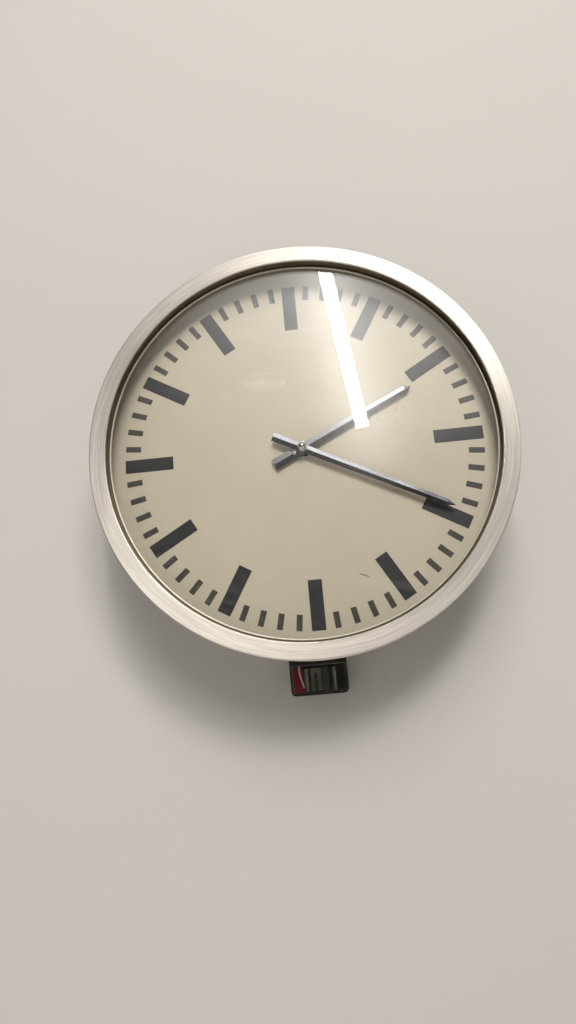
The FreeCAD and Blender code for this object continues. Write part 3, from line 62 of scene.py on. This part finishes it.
class Tree:
    """The node tree of one material or world, with short calls for the nodes it needs."""

    def __init__(self, owner, output, place):
        self.owner = owner
        owner.use_nodes = True
        self.tree = owner.node_tree
        self.tree.nodes.clear()
        self.output = self.tree.nodes.new(output)
        self.place = self.tree.nodes.new("ShaderNodeTexCoord").outputs[place]

    def feed(self, socket, value):
        if isinstance(value, bpy.types.NodeSocket):
            self.tree.links.new(value, socket)
        elif isinstance(value, (tuple, list)) and len(value) == 3 and socket.type == "RGBA":
            socket.default_value = (*value, 1.0)
        else:
            socket.default_value = value

    def node(self, kind, output=0, props=None, **inputs):
        made = self.tree.nodes.new(kind)
        for key, value in (props or {}).items():
            setattr(made, key, value)
        for key, value in inputs.items():
            self.feed(made.inputs[key.replace("_", " ")], value)
        return made.outputs[output]

    def sum(self, kind, a, b=0.0, c=None, clamp=False):
        made = self.tree.nodes.new("ShaderNodeMath")
        made.operation = kind
        made.use_clamp = clamp
        for socket, value in zip(made.inputs, (a, b, c)):
            if value is not None:
                self.feed(socket, value)
        return made.outputs[0]

    def vector(self, x, y, z):
        return self.node("ShaderNodeCombineXYZ", X=x, Y=y, Z=z)

    def axes(self):
        made = self.tree.nodes.new("ShaderNodeSeparateXYZ")
        self.feed(made.inputs[0], self.place)
        return made.outputs

    def scaled(self, x, y, z, turn=0.0):
        """Object coordinates turned about the dial's axis, then scaled on each axis."""
        turned = self.node("ShaderNodeVectorRotate", props={"rotation_type": "Y_AXIS"},
                           Vector=self.place, Angle=turn)
        return self.multiply(turned, (x, y, z))

    def multiply(self, vector, factors):
        made = self.tree.nodes.new("ShaderNodeVectorMath")
        made.operation = "MULTIPLY"
        self.feed(made.inputs[0], vector)
        made.inputs[1].default_value = factors
        return made.outputs[0]

    def noise(self, vector, detail=3.0, rough=0.55):
        made = self.tree.nodes.new("ShaderNodeTexNoise")
        self.feed(made.inputs["Vector"], vector)
        made.inputs["Scale"].default_value = 1.0
        made.inputs["Detail"].default_value = detail
        made.inputs["Roughness"].default_value = rough
        return made.outputs["Fac"]

    def remap(self, value, low, high, to_low=0.0, to_high=1.0):
        made = self.tree.nodes.new("ShaderNodeMapRange")
        self.feed(made.inputs["Value"], value)
        made.inputs["From Min"].default_value = low
        made.inputs["From Max"].default_value = high
        made.inputs["To Min"].default_value = to_low
        made.inputs["To Max"].default_value = to_high
        return made.outputs[0]

    def blend(self, factor, a, b):
        made = self.tree.nodes.new("ShaderNodeMix")
        made.data_type = "RGBA"
        self.feed(made.inputs["Factor"], factor)
        self.feed(made.inputs[6], a)
        self.feed(made.inputs[7], b)
        return made.outputs[2]

    def bump(self, height, distance, strength=1.0):
        made = self.tree.nodes.new("ShaderNodeBump")
        made.inputs["Strength"].default_value = strength
        made.inputs["Distance"].default_value = distance
        self.feed(made.inputs["Height"], height)
        return made.outputs[0]

    def mix(self, factor, first, second):
        """Mixes two shaders: the first at 0, the second at 1."""
        made = self.tree.nodes.new("ShaderNodeMixShader")
        self.feed(made.inputs[0], factor)
        self.tree.links.new(first, made.inputs[1])
        self.tree.links.new(second, made.inputs[2])
        return made.outputs[0]

    def principled(self, **inputs):
        return self.node("ShaderNodeBsdfPrincipled", **inputs)

    def finish(self, shader):
        self.tree.links.new(shader, self.output.inputs["Surface"])
        return self.owner

    def polar(self):
        """Distance from the dial's axis, and the cosine and sine of the angle round it."""
        x, _, z = self.axes()
        flat = self.vector(x, 0.0, z)
        length = self.tree.nodes.new("ShaderNodeVectorMath")
        length.operation = "LENGTH"
        self.feed(length.inputs[0], flat)
        radius = length.outputs["Value"]
        safe = self.sum("MAXIMUM", radius, TINY)
        return radius, self.sum("DIVIDE", x, safe), self.sum("DIVIDE", z, safe)

    def sharp_edge_mask(self, width):
        """1 along sharp outer edges and 0 on flat faces, from the true and the rounded normal."""
        bevel = self.tree.nodes.new("ShaderNodeBevel")
        bevel.samples = 4
        bevel.inputs["Radius"].default_value = width
        geometry = self.tree.nodes.new("ShaderNodeNewGeometry")
        dot = self.tree.nodes.new("ShaderNodeVectorMath")
        dot.operation = "DOT_PRODUCT"
        self.tree.links.new(bevel.outputs[0], dot.inputs[0])
        self.tree.links.new(geometry.outputs["Normal"], dot.inputs[1])
        return self.remap(dot.outputs["Value"], 0.995, 0.90)


def material_tree(name):
    return Tree(bpy.data.materials.new(name), "ShaderNodeOutputMaterial", "Object")


# ---------------------------------------------------------------- materials


def brushed_ring(name):
    """Stainless steel brushed round the dial's axis: streaks, dull patches and light scratches."""
    t = material_tree(name)
    radius, across, along = t.polar()
    depth = t.axes()[1]
    lane = t.sum("ADD", radius, depth)

    def streaks(pitch, arc, detail=2.0):
        around = RING_RADIUS / arc
        vector = t.vector(t.sum("MULTIPLY", lane, 1 / pitch), t.sum("MULTIPLY", across, around),
                          t.sum("MULTIPLY", along, around))
        return t.noise(vector, detail=detail, rough=0.6)

    fine = streaks(0.0006, 0.035)
    broad = streaks(0.0016, 0.07)
    clouds = t.noise(t.multiply(t.place, (22.0, 22.0, 22.0)), detail=4.0)
    scratches = t.remap(streaks(0.0004, 0.010, detail=0.0), 0.70, 0.77)
    tone = t.sum("ADD", t.sum("MULTIPLY", fine, 0.5), t.sum("MULTIPLY", broad, 0.5))
    colour = t.blend(t.remap(tone, 0.40, 0.60), (0.70, 0.65, 0.58), (0.91, 0.86, 0.78))
    colour = t.blend(t.remap(clouds, 0.35, 0.75, 0.0, 0.35), colour, (0.68, 0.63, 0.565))
    colour = t.blend(t.sum("MULTIPLY", scratches, 0.35), colour, (0.86, 0.84, 0.80))
    # the turned-in wall and the lip in front of the glass are painted dark brown as painted shade for
    # the recess; a thin pale line just inside the lip is a painted highlight where that edge catches
    # light
    inside = t.sum("MULTIPLY", t.remap(radius, INNER_WALL + 0.0003, INNER_WALL + 0.0001),
                   t.remap(depth, BEZEL_LOW.y + 0.0007, BEZEL_LOW.y + 0.0011))
    lip = t.sum("MULTIPLY", inside, t.remap(radius, INNER_WALL - 0.0004, INNER_WALL - 0.0006))
    # painted highlight: a thin pale line along the lip's inner edge, standing in for light caught by
    # that edge
    lip_highlight = t.sum("MULTIPLY", inside, t.remap(radius, INNER_WALL - 0.0015, INNER_WALL - 0.0019))
    # painted shade: the recess wall and the lip are made dark brown
    colour = t.blend(inside, colour, (0.21, 0.17, 0.115))
    colour = t.blend(lip, colour, (0.13, 0.105, 0.07))
    colour = t.blend(lip_highlight, colour, (0.80, 0.76, 0.67))
    rough = t.sum("ADD", t.remap(broad, 0.3, 0.7, 0.42, 0.48), t.remap(clouds, 0.3, 0.8, -0.02, 0.05))
    height = t.sum("ADD", t.sum("MULTIPLY", fine, 0.6), t.sum("MULTIPLY", scratches, -0.4))
    tangent = t.node("ShaderNodeTangent", props={"direction_type": "RADIAL", "axis": "Y"})
    return t.finish(t.principled(
        Base_Color=colour, Metallic=1.0, Roughness=rough, Anisotropic=0.78, Anisotropic_Rotation=0.25,
        Tangent=tangent, Normal=t.bump(height, 0.000004)))


def plain_metal(name, dark, light, rough, grain, bump=0.000005, anisotropic=0.0, turn=0.0, wear=0.0):
    """Machined or rolled metal: grain is the streaks' frequency on each axis, per metre."""
    t = material_tree(name)
    streak = t.noise(t.scaled(*grain, turn=turn), detail=3.0)
    clouds = t.noise(t.multiply(t.place, (60.0, 60.0, 60.0)), detail=4.0)
    colour = t.blend(t.remap(streak, 0.3, 0.7), dark, light)
    colour = t.blend(t.remap(clouds, 0.45, 0.8, 0.0, 0.4), colour, tuple(0.8 * c for c in dark))
    if wear:
        colour = t.blend(t.sum("MULTIPLY", t.sharp_edge_mask(0.0004), wear), colour,
                         tuple(min(1.0, 1.15 * c) for c in light))
    roughness = t.sum("ADD", t.remap(streak, 0.25, 0.75, rough * 0.8, rough * 1.2),
                      t.remap(clouds, 0.3, 0.8, -0.02, 0.08))
    return t.finish(t.principled(
        Base_Color=colour, Metallic=1.0, Roughness=roughness, Anisotropic=anisotropic,
        Normal=t.bump(streak, bump)))


def painted_steel(name, colour, speckle=0.06, rough=0.42):
    """Powder coat with orange peel, a little dust and rubbed edges."""
    t = material_tree(name)
    peel = t.noise(t.multiply(t.place, (900.0, 900.0, 900.0)), detail=2.0)
    clouds = t.noise(t.multiply(t.place, (14.0, 14.0, 14.0)), detail=5.0)
    dust = t.noise(t.multiply(t.place, (2500.0, 2500.0, 2500.0)), detail=0.0)
    shade = t.blend(t.remap(clouds, 0.3, 0.75), tuple(c * 0.86 for c in colour), colour)
    shade = t.blend(t.remap(dust, 0.62, 0.72, 0.0, speckle), shade, (0.8, 0.78, 0.74))
    shade = t.blend(t.sum("MULTIPLY", t.sharp_edge_mask(0.0006), 0.3), shade,
                    tuple(min(1.0, c * 1.35) for c in colour))
    return t.finish(t.principled(
        Base_Color=shade, Roughness=t.remap(clouds, 0.3, 0.75, rough - 0.05, rough + 0.1),
        Normal=t.bump(peel, 0.00004, strength=0.5)))


def dial_paint(name):
    """Warm off-white enamel, unevenly yellowed, with fine speckle."""
    t = material_tree(name)
    radius, _, _ = t.polar()
    clouds = t.noise(t.multiply(t.place, (9.0, 9.0, 9.0)), detail=4.0)
    mottle = t.noise(t.multiply(t.place, (60.0, 60.0, 60.0)), detail=5.0)
    grain = t.noise(t.multiply(t.place, (700.0, 700.0, 700.0)), detail=3.0)
    colour = t.blend(t.remap(clouds, 0.3, 0.7), (0.575, 0.500, 0.392), (0.635, 0.560, 0.442))
    colour = t.blend(t.remap(mottle, 0.4, 0.8, 0.0, 0.25), colour, (0.545, 0.472, 0.365))
    colour = t.blend(t.remap(grain, 0.55, 0.75, 0.0, 0.08), colour, (0.44, 0.385, 0.305))
    edge = t.remap(radius, 0.125, 0.165, 0.0, 0.35)
    colour = t.blend(edge, colour, (0.60, 0.53, 0.41))
    return t.finish(t.principled(
        Base_Color=colour, Roughness=t.remap(mottle, 0.3, 0.8, 0.42, 0.58),
        Normal=t.bump(grain, 0.00001, strength=0.6)))


def ink(name, colour):
    """Printed marks: a thick semi-matt ink with a slightly uneven film."""
    t = material_tree(name)
    film = t.noise(t.multiply(t.place, (250.0, 250.0, 250.0)), detail=4.0)
    grain = t.noise(t.multiply(t.place, (3000.0, 3000.0, 3000.0)), detail=1.0)
    thin, thick = (tuple(c * share for c in colour) for share in (0.82, 1.2))
    shade = t.blend(t.remap(film, 0.3, 0.75), thin, thick)
    shade = t.blend(t.remap(grain, 0.66, 0.76, 0.0, 0.3), shade, (0.30, 0.28, 0.25))
    return t.finish(t.principled(
        Base_Color=shade, Roughness=t.remap(film, 0.3, 0.75, 0.38, 0.55),
        Normal=t.bump(grain, 0.000008)))


def moulded(name, colour, rough=0.42, coat=0.0, bump=0.00002, spread=0.18):
    """Moulded plastic: faint flow clouds, fine texture and rubbed corners."""
    t = material_tree(name)
    clouds = t.noise(t.multiply(t.place, (70.0, 70.0, 70.0)), detail=4.0)
    grain = t.noise(t.multiply(t.place, (2200.0, 2200.0, 2200.0)), detail=2.0)
    shade = t.blend(t.remap(clouds, 0.3, 0.75), tuple(c * (1 - spread) for c in colour),
                    tuple(min(1.0, c * (1 + spread)) for c in colour))
    shade = t.blend(t.sum("MULTIPLY", t.sharp_edge_mask(0.0004), 0.35), shade,
                    tuple(min(1.0, c * 1.5 + 0.02) for c in colour))
    return t.finish(t.principled(
        Base_Color=shade, Roughness=t.remap(clouds, 0.3, 0.75, rough - 0.07, rough + 0.1),
        Coat_Weight=coat, Normal=t.bump(grain, bump, strength=0.6)))


def winding(name):
    """Enamelled copper wire laid in turns round the coil, which lies along X."""
    t = material_tree(name)
    x = t.axes()[0]
    turns = t.sum("ABSOLUTE", t.sum("SINE", t.sum("MULTIPLY", x, math.pi / 0.00022)))
    clouds = t.noise(t.multiply(t.place, (300.0, 120.0, 120.0)), detail=3.0)
    # painted shade and highlight: the copper is painted dark where two turns meet and light on each
    # turn's crown
    colour = t.blend(turns, (0.20, 0.055, 0.020), (0.78, 0.33, 0.14))
    colour = t.blend(t.remap(clouds, 0.4, 0.8, 0.0, 0.5), colour, (0.45, 0.13, 0.05))
    return t.finish(t.principled(
        Base_Color=colour, Metallic=1.0, Roughness=t.remap(clouds, 0.3, 0.8, 0.22, 0.4),
        Normal=t.bump(turns, 0.00011)))


def blob(t, centre, half, turn=0.0, soft=0.5):
    """1 inside an ellipse on the dial's plane, falling to 0 at its rim; centre and half in metres."""
    x, _, z = t.axes()
    dx = t.sum("SUBTRACT", x, centre[0])
    dz = t.sum("SUBTRACT", z, centre[1])
    c, s = math.cos(turn), math.sin(turn)
    u = t.sum("ADD", t.sum("MULTIPLY", dx, c / half[0]), t.sum("MULTIPLY", dz, s / half[0]))
    v = t.sum("ADD", t.sum("MULTIPLY", dx, -s / half[1]), t.sum("MULTIPLY", dz, c / half[1]))
    square = t.sum("ADD", t.sum("MULTIPLY", u, u), t.sum("MULTIPLY", v, v))
    return t.remap(square, 1.0, soft)


def clear_for_light(t, shader, tint):
    """Lets lamps' light and soft light pass straight through a clear shader."""
    path = t.tree.nodes.new("ShaderNodeLightPath")
    passing = t.sum("MAXIMUM", path.outputs["Is Shadow Ray"], path.outputs["Is Diffuse Ray"])
    straight = t.node("ShaderNodeBsdfTransparent", Color=tint)
    return t.mix(passing, shader, straight)


def window(name):
    """Flat clock glass with wiped smears, a hand print, fine scratches and dust."""
    t = material_tree(name)
    swirl = t.noise(t.scaled(60.0, 60.0, 170.0, turn=0.15), detail=4.0, rough=0.6)
    threads = t.remap(t.sum("ABSOLUTE", t.sum("SUBTRACT", swirl, 0.5)), 0.05, 0.0)
    grease = t.sum("MULTIPLY", blob(t, (-0.0265, 0.0545), (0.021, 0.0100), turn=-0.15, soft=0.1),
                   t.sum("ADD", t.remap(swirl, 0.42, 0.66, 0.0, 0.7), t.sum("MULTIPLY", threads, 0.9)))
    knot = blob(t, (-0.0105, 0.0520), (0.0042, 0.0030), turn=0.6, soft=0.1)
    grease = t.sum("ADD", grease, t.sum("MULTIPLY", knot, 0.6))
    hair = blob(t, (0.083, 0.0025), (0.036, 0.00035), turn=math.radians(9.0), soft=0.1)
    prints = t.sum("MULTIPLY", blob(t, (0.070, 0.022), (0.026, 0.013), turn=0.35, soft=0.2),
                   t.remap(t.noise(t.multiply(t.place, (260.0, 260.0, 260.0)), detail=3.0), 0.5, 0.66))
    wipe = t.remap(t.noise(t.scaled(8.0, 8.0, 60.0, turn=math.radians(-12.0)), detail=4.0), 0.56, 0.8)
    scratch = blob(t, (0.0374, -0.1062), (0.0050, 0.00045), turn=math.radians(-24.0), soft=0.2)
    dust = t.remap(t.noise(t.multiply(t.place, (1500.0, 1500.0, 1500.0)), detail=0.0), 0.74, 0.80)
    film = t.sum("ADD", t.sum("MULTIPLY", grease, 0.18), t.sum("MULTIPLY", prints, 0.16))
    film = t.sum("ADD", film, t.sum("MULTIPLY", hair, 0.10))
    film = t.sum("ADD", film, t.sum("MULTIPLY", wipe, 0.03))
    film = t.sum("ADD", film, t.sum("MULTIPLY", dust, 0.10), clamp=True)
    glass = t.principled(Base_Color=(1.0, 1.0, 1.0), Roughness=0.0, IOR=1.5, Transmission_Weight=1.0)
    haze = t.node("ShaderNodeBsdfDiffuse", Color=(0.85, 0.82, 0.76))
    mark = t.node("ShaderNodeBsdfDiffuse", Color=(0.16, 0.13, 0.10))
    marked = t.mix(t.sum("MULTIPLY", scratch, 0.75), glass, mark)
    return t.finish(clear_for_light(t, t.mix(film, marked, haze), (0.95, 0.96, 0.95)))


def clear_cover(name):
    """Clear moulded cover, smoky with age: fine scratches, dusty clouds, and a pale rim along its edges
    painted on as light caught inside the plastic.
    """
    t = material_tree(name)
    clouds = t.noise(t.multiply(t.place, (90.0, 90.0, 90.0)), detail=4.0)
    scratches = t.remap(t.noise(t.scaled(900.0, 60.0, 120.0, turn=0.4), detail=1.0), 0.62, 0.72)
    clear = t.principled(Base_Color=(0.90, 0.90, 0.84), IOR=1.49, Transmission_Weight=1.0,
                         Roughness=t.remap(clouds, 0.3, 0.8, 0.0, 0.05))
    haze = t.node("ShaderNodeBsdfDiffuse", Color=(0.42, 0.42, 0.38))
    dust_and_rim_light = t.sum("ADD", t.remap(clouds, 0.4, 0.8, 0.0, 0.02), t.sum("MULTIPLY", scratches, 0.03))
    # painted light: a pale haze along the sharp edges stands in for light caught inside the plastic
    dust_and_rim_light = t.sum("ADD", dust_and_rim_light, t.sum("MULTIPLY", t.sharp_edge_mask(0.0012), 0.45))
    return t.finish(clear_for_light(t, t.mix(dust_and_rim_light, clear, haze), (0.86, 0.86, 0.82)))


HOUR_TURN = angle_of_hand("hour_hand")
MINUTE_TURN = angle_of_hand("minute_hand")
EVEN_GRAIN = (900.0, 900.0, 900.0)


def hand_finish(name, angle):
    """Bright chromed steel, drawn along the hand."""
    return plain_metal(name, (0.44, 0.445, 0.475), (0.56, 0.565, 0.60), 0.07, (3500.0, 3500.0, 60.0),
                       bump=0.0000004, turn=-angle)


SLOTS = {
    "brushed_steel": brushed_ring,
    "zinc_steel": lambda n: plain_metal(n, (0.42, 0.43, 0.42), (0.62, 0.63, 0.62), 0.36,
                                        (200.0, 200.0, 200.0), wear=0.5),
    "black_rubber": lambda n: moulded(n, (0.020, 0.018, 0.016), rough=0.7, bump=0.00004),
    "window_glass": window,
    "case_paint": lambda n: painted_steel(n, (0.36, 0.34, 0.31)),
    "dial_paint": dial_paint,
    "hour_ink": lambda n: ink(n, (0.020, 0.022, 0.024)),
    "minute_ink": lambda n: ink(n, (0.055, 0.049, 0.043)),
    "hand_metal": lambda n: hand_finish(n, MINUTE_TURN),
    "polished_metal": lambda n: plain_metal(n, (0.62, 0.62, 0.63), (0.78, 0.78, 0.79), 0.12, EVEN_GRAIN,
                                            bump=0.000002),
    "brass": lambda n: plain_metal(n, (0.55, 0.36, 0.13), (0.80, 0.58, 0.25), 0.24,
                                   (1200.0, 250.0, 1200.0), wear=0.4),
    "plate_brass": lambda n: plain_metal(n, (0.52, 0.36, 0.15), (0.72, 0.53, 0.25), 0.30,
                                         (60.0, 3000.0, 3000.0), wear=0.5),
    "arbor_steel": lambda n: plain_metal(n, (0.42, 0.42, 0.43), (0.62, 0.62, 0.63), 0.2,
                                         (300.0, 5000.0, 300.0)),
    "magnet": lambda n: plain_metal(n, (0.13, 0.13, 0.14), (0.22, 0.22, 0.23), 0.45, EVEN_GRAIN,
                                    wear=0.5),
    "soft_iron": lambda n: plain_metal(n, (0.26, 0.26, 0.27), (0.40, 0.40, 0.41), 0.4,
                                       (80.0, 6000.0, 6000.0), wear=0.5),
    "bobbin_plastic": lambda n: moulded(n, (0.70, 0.66, 0.55), rough=0.5),
    "copper_wire": winding,
    "red_insulation": lambda n: moulded(n, (0.42, 0.020, 0.018), rough=0.38, spread=0.1),
    "white_insulation": lambda n: moulded(n, (0.74, 0.72, 0.66), rough=0.38, spread=0.06),
    "box_plastic": lambda n: moulded(n, (0.010, 0.010, 0.009), rough=0.45),
    "clear_plastic": clear_cover,
    "strip_plastic": lambda n: moulded(n, (0.070, 0.068, 0.058), rough=0.4),
    "red_plastic": lambda n: moulded(n, (0.26, 0.002, 0.028), rough=0.35),
    "clamp_metal": lambda n: plain_metal(n, (0.60, 0.59, 0.55), (0.86, 0.85, 0.80), 0.2,
                                         (1500.0, 400.0, 1500.0), wear=0.4),
}

made = {slot: maker(slot) for slot, maker in SLOTS.items()}
made_by_node = {"hour_hand": hand_finish("hour_hand_metal", HOUR_TURN)}
for part in record["subparts"]:
    piece = nodes[part["node"]]
    piece.data.materials.clear()
    piece.data.materials.append(made_by_node.get(part["node"], made[part["material_slot"]]))

# ---------------------------------------------------------------- stage


def sheet(name, corners, faces, material):
    mesh = bpy.data.meshes.new(name)
    mesh.from_pydata(corners, [], faces)
    mesh.update()
    made_sheet = bpy.data.objects.new(name, mesh)
    bpy.context.scene.collection.objects.link(made_sheet)
    mesh.materials.append(material)
    for face in mesh.polygons:
        face.use_smooth = True
    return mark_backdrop(made_sheet)


def stage_paint(name, colour):
    t = material_tree(name)
    clouds = t.noise(t.multiply(t.place, (2.0, 2.0, 2.0)), detail=3.0)
    grain = t.noise(t.multiply(t.place, (400.0, 400.0, 400.0)), detail=2.0)
    shade = t.blend(t.remap(clouds, 0.3, 0.7), tuple(c * 0.97 for c in colour), colour)
    normal = t.bump(grain, 0.00003, strength=0.3)
    return t, t.principled(Base_Color=shade, Roughness=0.85, Normal=normal)


WALL_HALF = 1.6
WALL_TOP = 1.7
FLOOR_REACH = 2.6
COVE = 0.25
FLOOR_GAP = 0.001
COVE_STEPS = 12
PALE = (0.62, 0.60, 0.575)

# The floor runs from behind the wall to in front of it, and is solid from every side.
floor_tree, floor_shader = stage_paint("floor_paint", PALE)
floor_low = BEZEL_LOW.z - FLOOR_DROP
floor_signs = ((-1, -1), (1, -1), (1, 1), (-1, 1))
floor_corners = [(x * FLOOR_REACH, y * FLOOR_REACH, floor_low) for x, y in floor_signs]
sheet("floor", floor_corners, [(0, 1, 2, 3)], floor_tree.finish(floor_shader))

# The wall is a one-sided backdrop: it shows the shadow from the front, and nothing from behind.
wall_tree, wall_shader = stage_paint("wall_paint", PALE)
path = wall_tree.tree.nodes.new("ShaderNodeLightPath")
side = wall_tree.tree.nodes.new("ShaderNodeNewGeometry")
front = wall_tree.sum("SUBTRACT", 1.0, side.outputs["Backfacing"])
seen = wall_tree.sum("MAXIMUM", path.outputs["Is Camera Ray"], path.outputs["Is Transmission Ray"])
shown = wall_tree.sum("MULTIPLY", front, seen)
nothing = wall_tree.node("ShaderNodeBsdfTransparent")
wall_mix = wall_tree.mix(shown, nothing, wall_shader)
profile = [(WALL_GAP, WALL_TOP)]
for step in range(COVE_STEPS + 1):
    bend = math.radians(90.0 * step / COVE_STEPS)
    profile.append((WALL_GAP - COVE * (1 - math.cos(bend)),
                    floor_low + FLOOR_GAP + COVE * (1 - math.sin(bend))))
corners = [(x, y, z) for y, z in profile for x in (-WALL_HALF, WALL_HALF)]
faces = [(2 * i, 2 * i + 2, 2 * i + 3, 2 * i + 1) for i in range(len(profile) - 1)]
sheet("backdrop", corners, faces, wall_tree.finish(wall_mix))

# ---------------------------------------------------------------- lights


def lamp(name, place, target, size, radiance, glossy=True, spin=None):
    """A rectangular lamp of size (width, height) at place, facing target.

    spin is where its height points, and radiance is how bright it looks head on.
    A lamp that isn't glossy is seen in no polished surface.
    """
    data = bpy.data.lights.new(name, "AREA")
    data.shape = "RECTANGLE"
    data.size, data.size_y = size
    data.energy = radiance * math.pi * size[0] * size[1]
    data.color = LAMP_COLOUR
    made_lamp = bpy.data.objects.new(name, data)
    bpy.context.scene.collection.objects.link(made_lamp)
    back = (Vector(place) - Vector(target)).normalized()
    if spin is None:
        made_lamp.rotation_mode = "QUATERNION"
        made_lamp.rotation_quaternion = (-back).to_track_quat("-Z", "Y")
        made_lamp.location = place
    else:
        up = (Vector(spin) - back * Vector(spin).dot(back)).normalized()
        made_lamp.matrix_world = standing(up.cross(back), up, back, place)
    made_lamp.visible_camera = False
    made_lamp.visible_glossy = glossy
    made_lamp.visible_transmission = glossy
    return made_lamp


def standing(right, up, back, place):
    """The matrix that puts a lamp or a camera at place, looking away from back."""
    return Matrix((
        (right.x, up.x, back.x, place[0]),
        (right.y, up.y, back.y, place[1]),
        (right.z, up.z, back.z, place[2]),
        (0, 0, 0, 1),
    ))


LAMP_COLOUR = (1.0, 0.97, 0.92)

# A lamp linked to glass_left_out lights all but the front glass; one linked to glass_alone, only that.
glass_left_out = bpy.data.collections.new("glass_left_out")
glass_left_out.objects.link(nodes["front_glass"])
glass_left_out.collection_objects[0].light_linking.link_state = "EXCLUDE"

glass_alone = bpy.data.collections.new("glass_alone")
glass_alone.objects.link(nodes["front_glass"])


def hide_in_glass(made_lamp):
    made_lamp.light_linking.receiver_collection = glass_left_out


AIM = (0.0, DIAL_FRONT, 0.0)
TUBE_LOW = Vector((0.152, -1.589, 0.517))
TUBE_RUN = Vector((-0.065, 0.137, 0.442))
TUBE_WIDTH = 0.040
KEY_WIDTH = 0.14


def along_tube(name, share, width, radiance, glossy):
    """A lamp that lies on the tube's line and is share times as long as its run."""
    far = TUBE_LOW + TUBE_RUN * share
    size = (width, (far - TUBE_LOW).length)
    return lamp(name, (TUBE_LOW + far) / 2, AIM, size, radiance, glossy=glossy, spin=TUBE_RUN)


# The strip seen in the glass lights nothing else; the key on the same line lights the clock.
tube = along_tube("tube", 1.5, TUBE_WIDTH, 16.0, glossy=True)
tube.light_linking.receiver_collection = glass_alone
hide_in_glass(along_tube("key", 2.2, KEY_WIDTH, 22.0, glossy=False))
hide_in_glass(lamp("sheen", (0.45, -1.62, 1.0), AIM, (0.38, 0.38), 27.0))
hide_in_glass(lamp("fill", (-1.2, -1.6, -0.1), AIM, (1.2, 1.2), 0.8, glossy=False))
# The smears and dust on the glass are lit on their own, since the lamps above leave the glass out.
film_light = lamp("film_light", (-1.1, -1.4, 1.1), AIM, (0.5, 0.5), 50.0, glossy=False)
film_light.light_linking.receiver_collection = glass_alone
hide_in_glass(lamp("low", (-0.5, -0.9, -1.0), AIM, (0.9, 0.4), 1.0))
lamp("rear_right", (0.9, 1.3, 0.7), AIM, (0.9, 0.9), 5.0)
lamp("rear_left", (-1.1, 1.2, 0.3), AIM, (0.9, 0.9), 3.0)


def room():
    """A soft room: brighter above, darker level with the eye, and a broad glow round the tube."""
    world = bpy.data.worlds.new("soft_room")
    bpy.context.scene.world = world
    t = Tree(world, "ShaderNodeOutputWorld", "Generated")
    x, y, z = t.axes()
    lift = t.sum("ARCSINE", z)
    turn = t.sum("ARCTAN2", x, t.sum("MULTIPLY", y, -1.0))
    above = t.remap(lift, 0.25, 0.9, 0.0, 0.34)
    below = t.remap(lift, -0.6, -0.25, 0.30, 0.0)
    right_side = t.remap(turn, 0.10, 0.40, 0.035, 0.16)
    level = t.sum("ADD", t.sum("ADD", above, below), right_side)
    middle = t.sum("SUBTRACT", GLOW_TURN, t.sum("MULTIPLY", lift, GLOW_SLANT))
    glow = 0.0
    for width, level_there, low, high in GLOWS:
        aside = t.sum("DIVIDE", t.sum("SUBTRACT", turn, middle), width)
        bell = t.sum("EXPONENT", t.sum("MULTIPLY", t.sum("MULTIPLY", aside, aside), -1.0))
        rise = t.sum("MULTIPLY", t.remap(lift, low, high), t.remap(lift, 1.2, 0.7))
        glow = t.sum("ADD", glow, t.sum("MULTIPLY", t.sum("MULTIPLY", bell, rise), level_there))
    strength = t.sum("ADD", level, glow)
    soft = t.node("ShaderNodeBackground", Color=(1.0, 0.975, 0.95), Strength=strength)
    plain = t.node("ShaderNodeBackground", Color=PALE, Strength=1.0)
    path = t.tree.nodes.new("ShaderNodeLightPath")
    t.finish(t.mix(path.outputs["Is Camera Ray"], soft, plain))


# The glow's middle turns with height.  Each glow is (width, level, and the two heights between which
# it sets in); widths and heights are angles in radians.
GLOW_TURN = 0.119
GLOW_SLANT = 0.145
GLOWS = ((0.20, 2.9, 0.27, 0.50), (0.045, 3.2, 0.24, 0.36))
room()

# ---------------------------------------------------------------- camera

LENS = 26.14
SENSOR = 36.0
camera_data = bpy.data.cameras.new("camera")
camera_data.sensor_fit = "AUTO"
camera_data.sensor_width = SENSOR
camera_data.lens = LENS
camera_data.clip_start = 0.01
camera_data.clip_end = 50.0
camera = bpy.data.objects.new("camera", camera_data)
bpy.context.scene.collection.objects.link(camera)
bpy.context.scene.camera = camera
RIGHT = Vector((0.99437, 0.06472, -0.08393))
BACK = Vector((0.04447, -0.97362, -0.22382))
UP = BACK.cross(RIGHT).normalized()
RIGHT = UP.cross(BACK).normalized()
EYE = Vector((0.01002, DIAL_FRONT - 0.56688, -0.17938))
camera.matrix_world = standing(RIGHT, UP, BACK, EYE)

bpy.context.scene.view_settings.view_transform = "Standard"

bpy.context.view_layer.update()
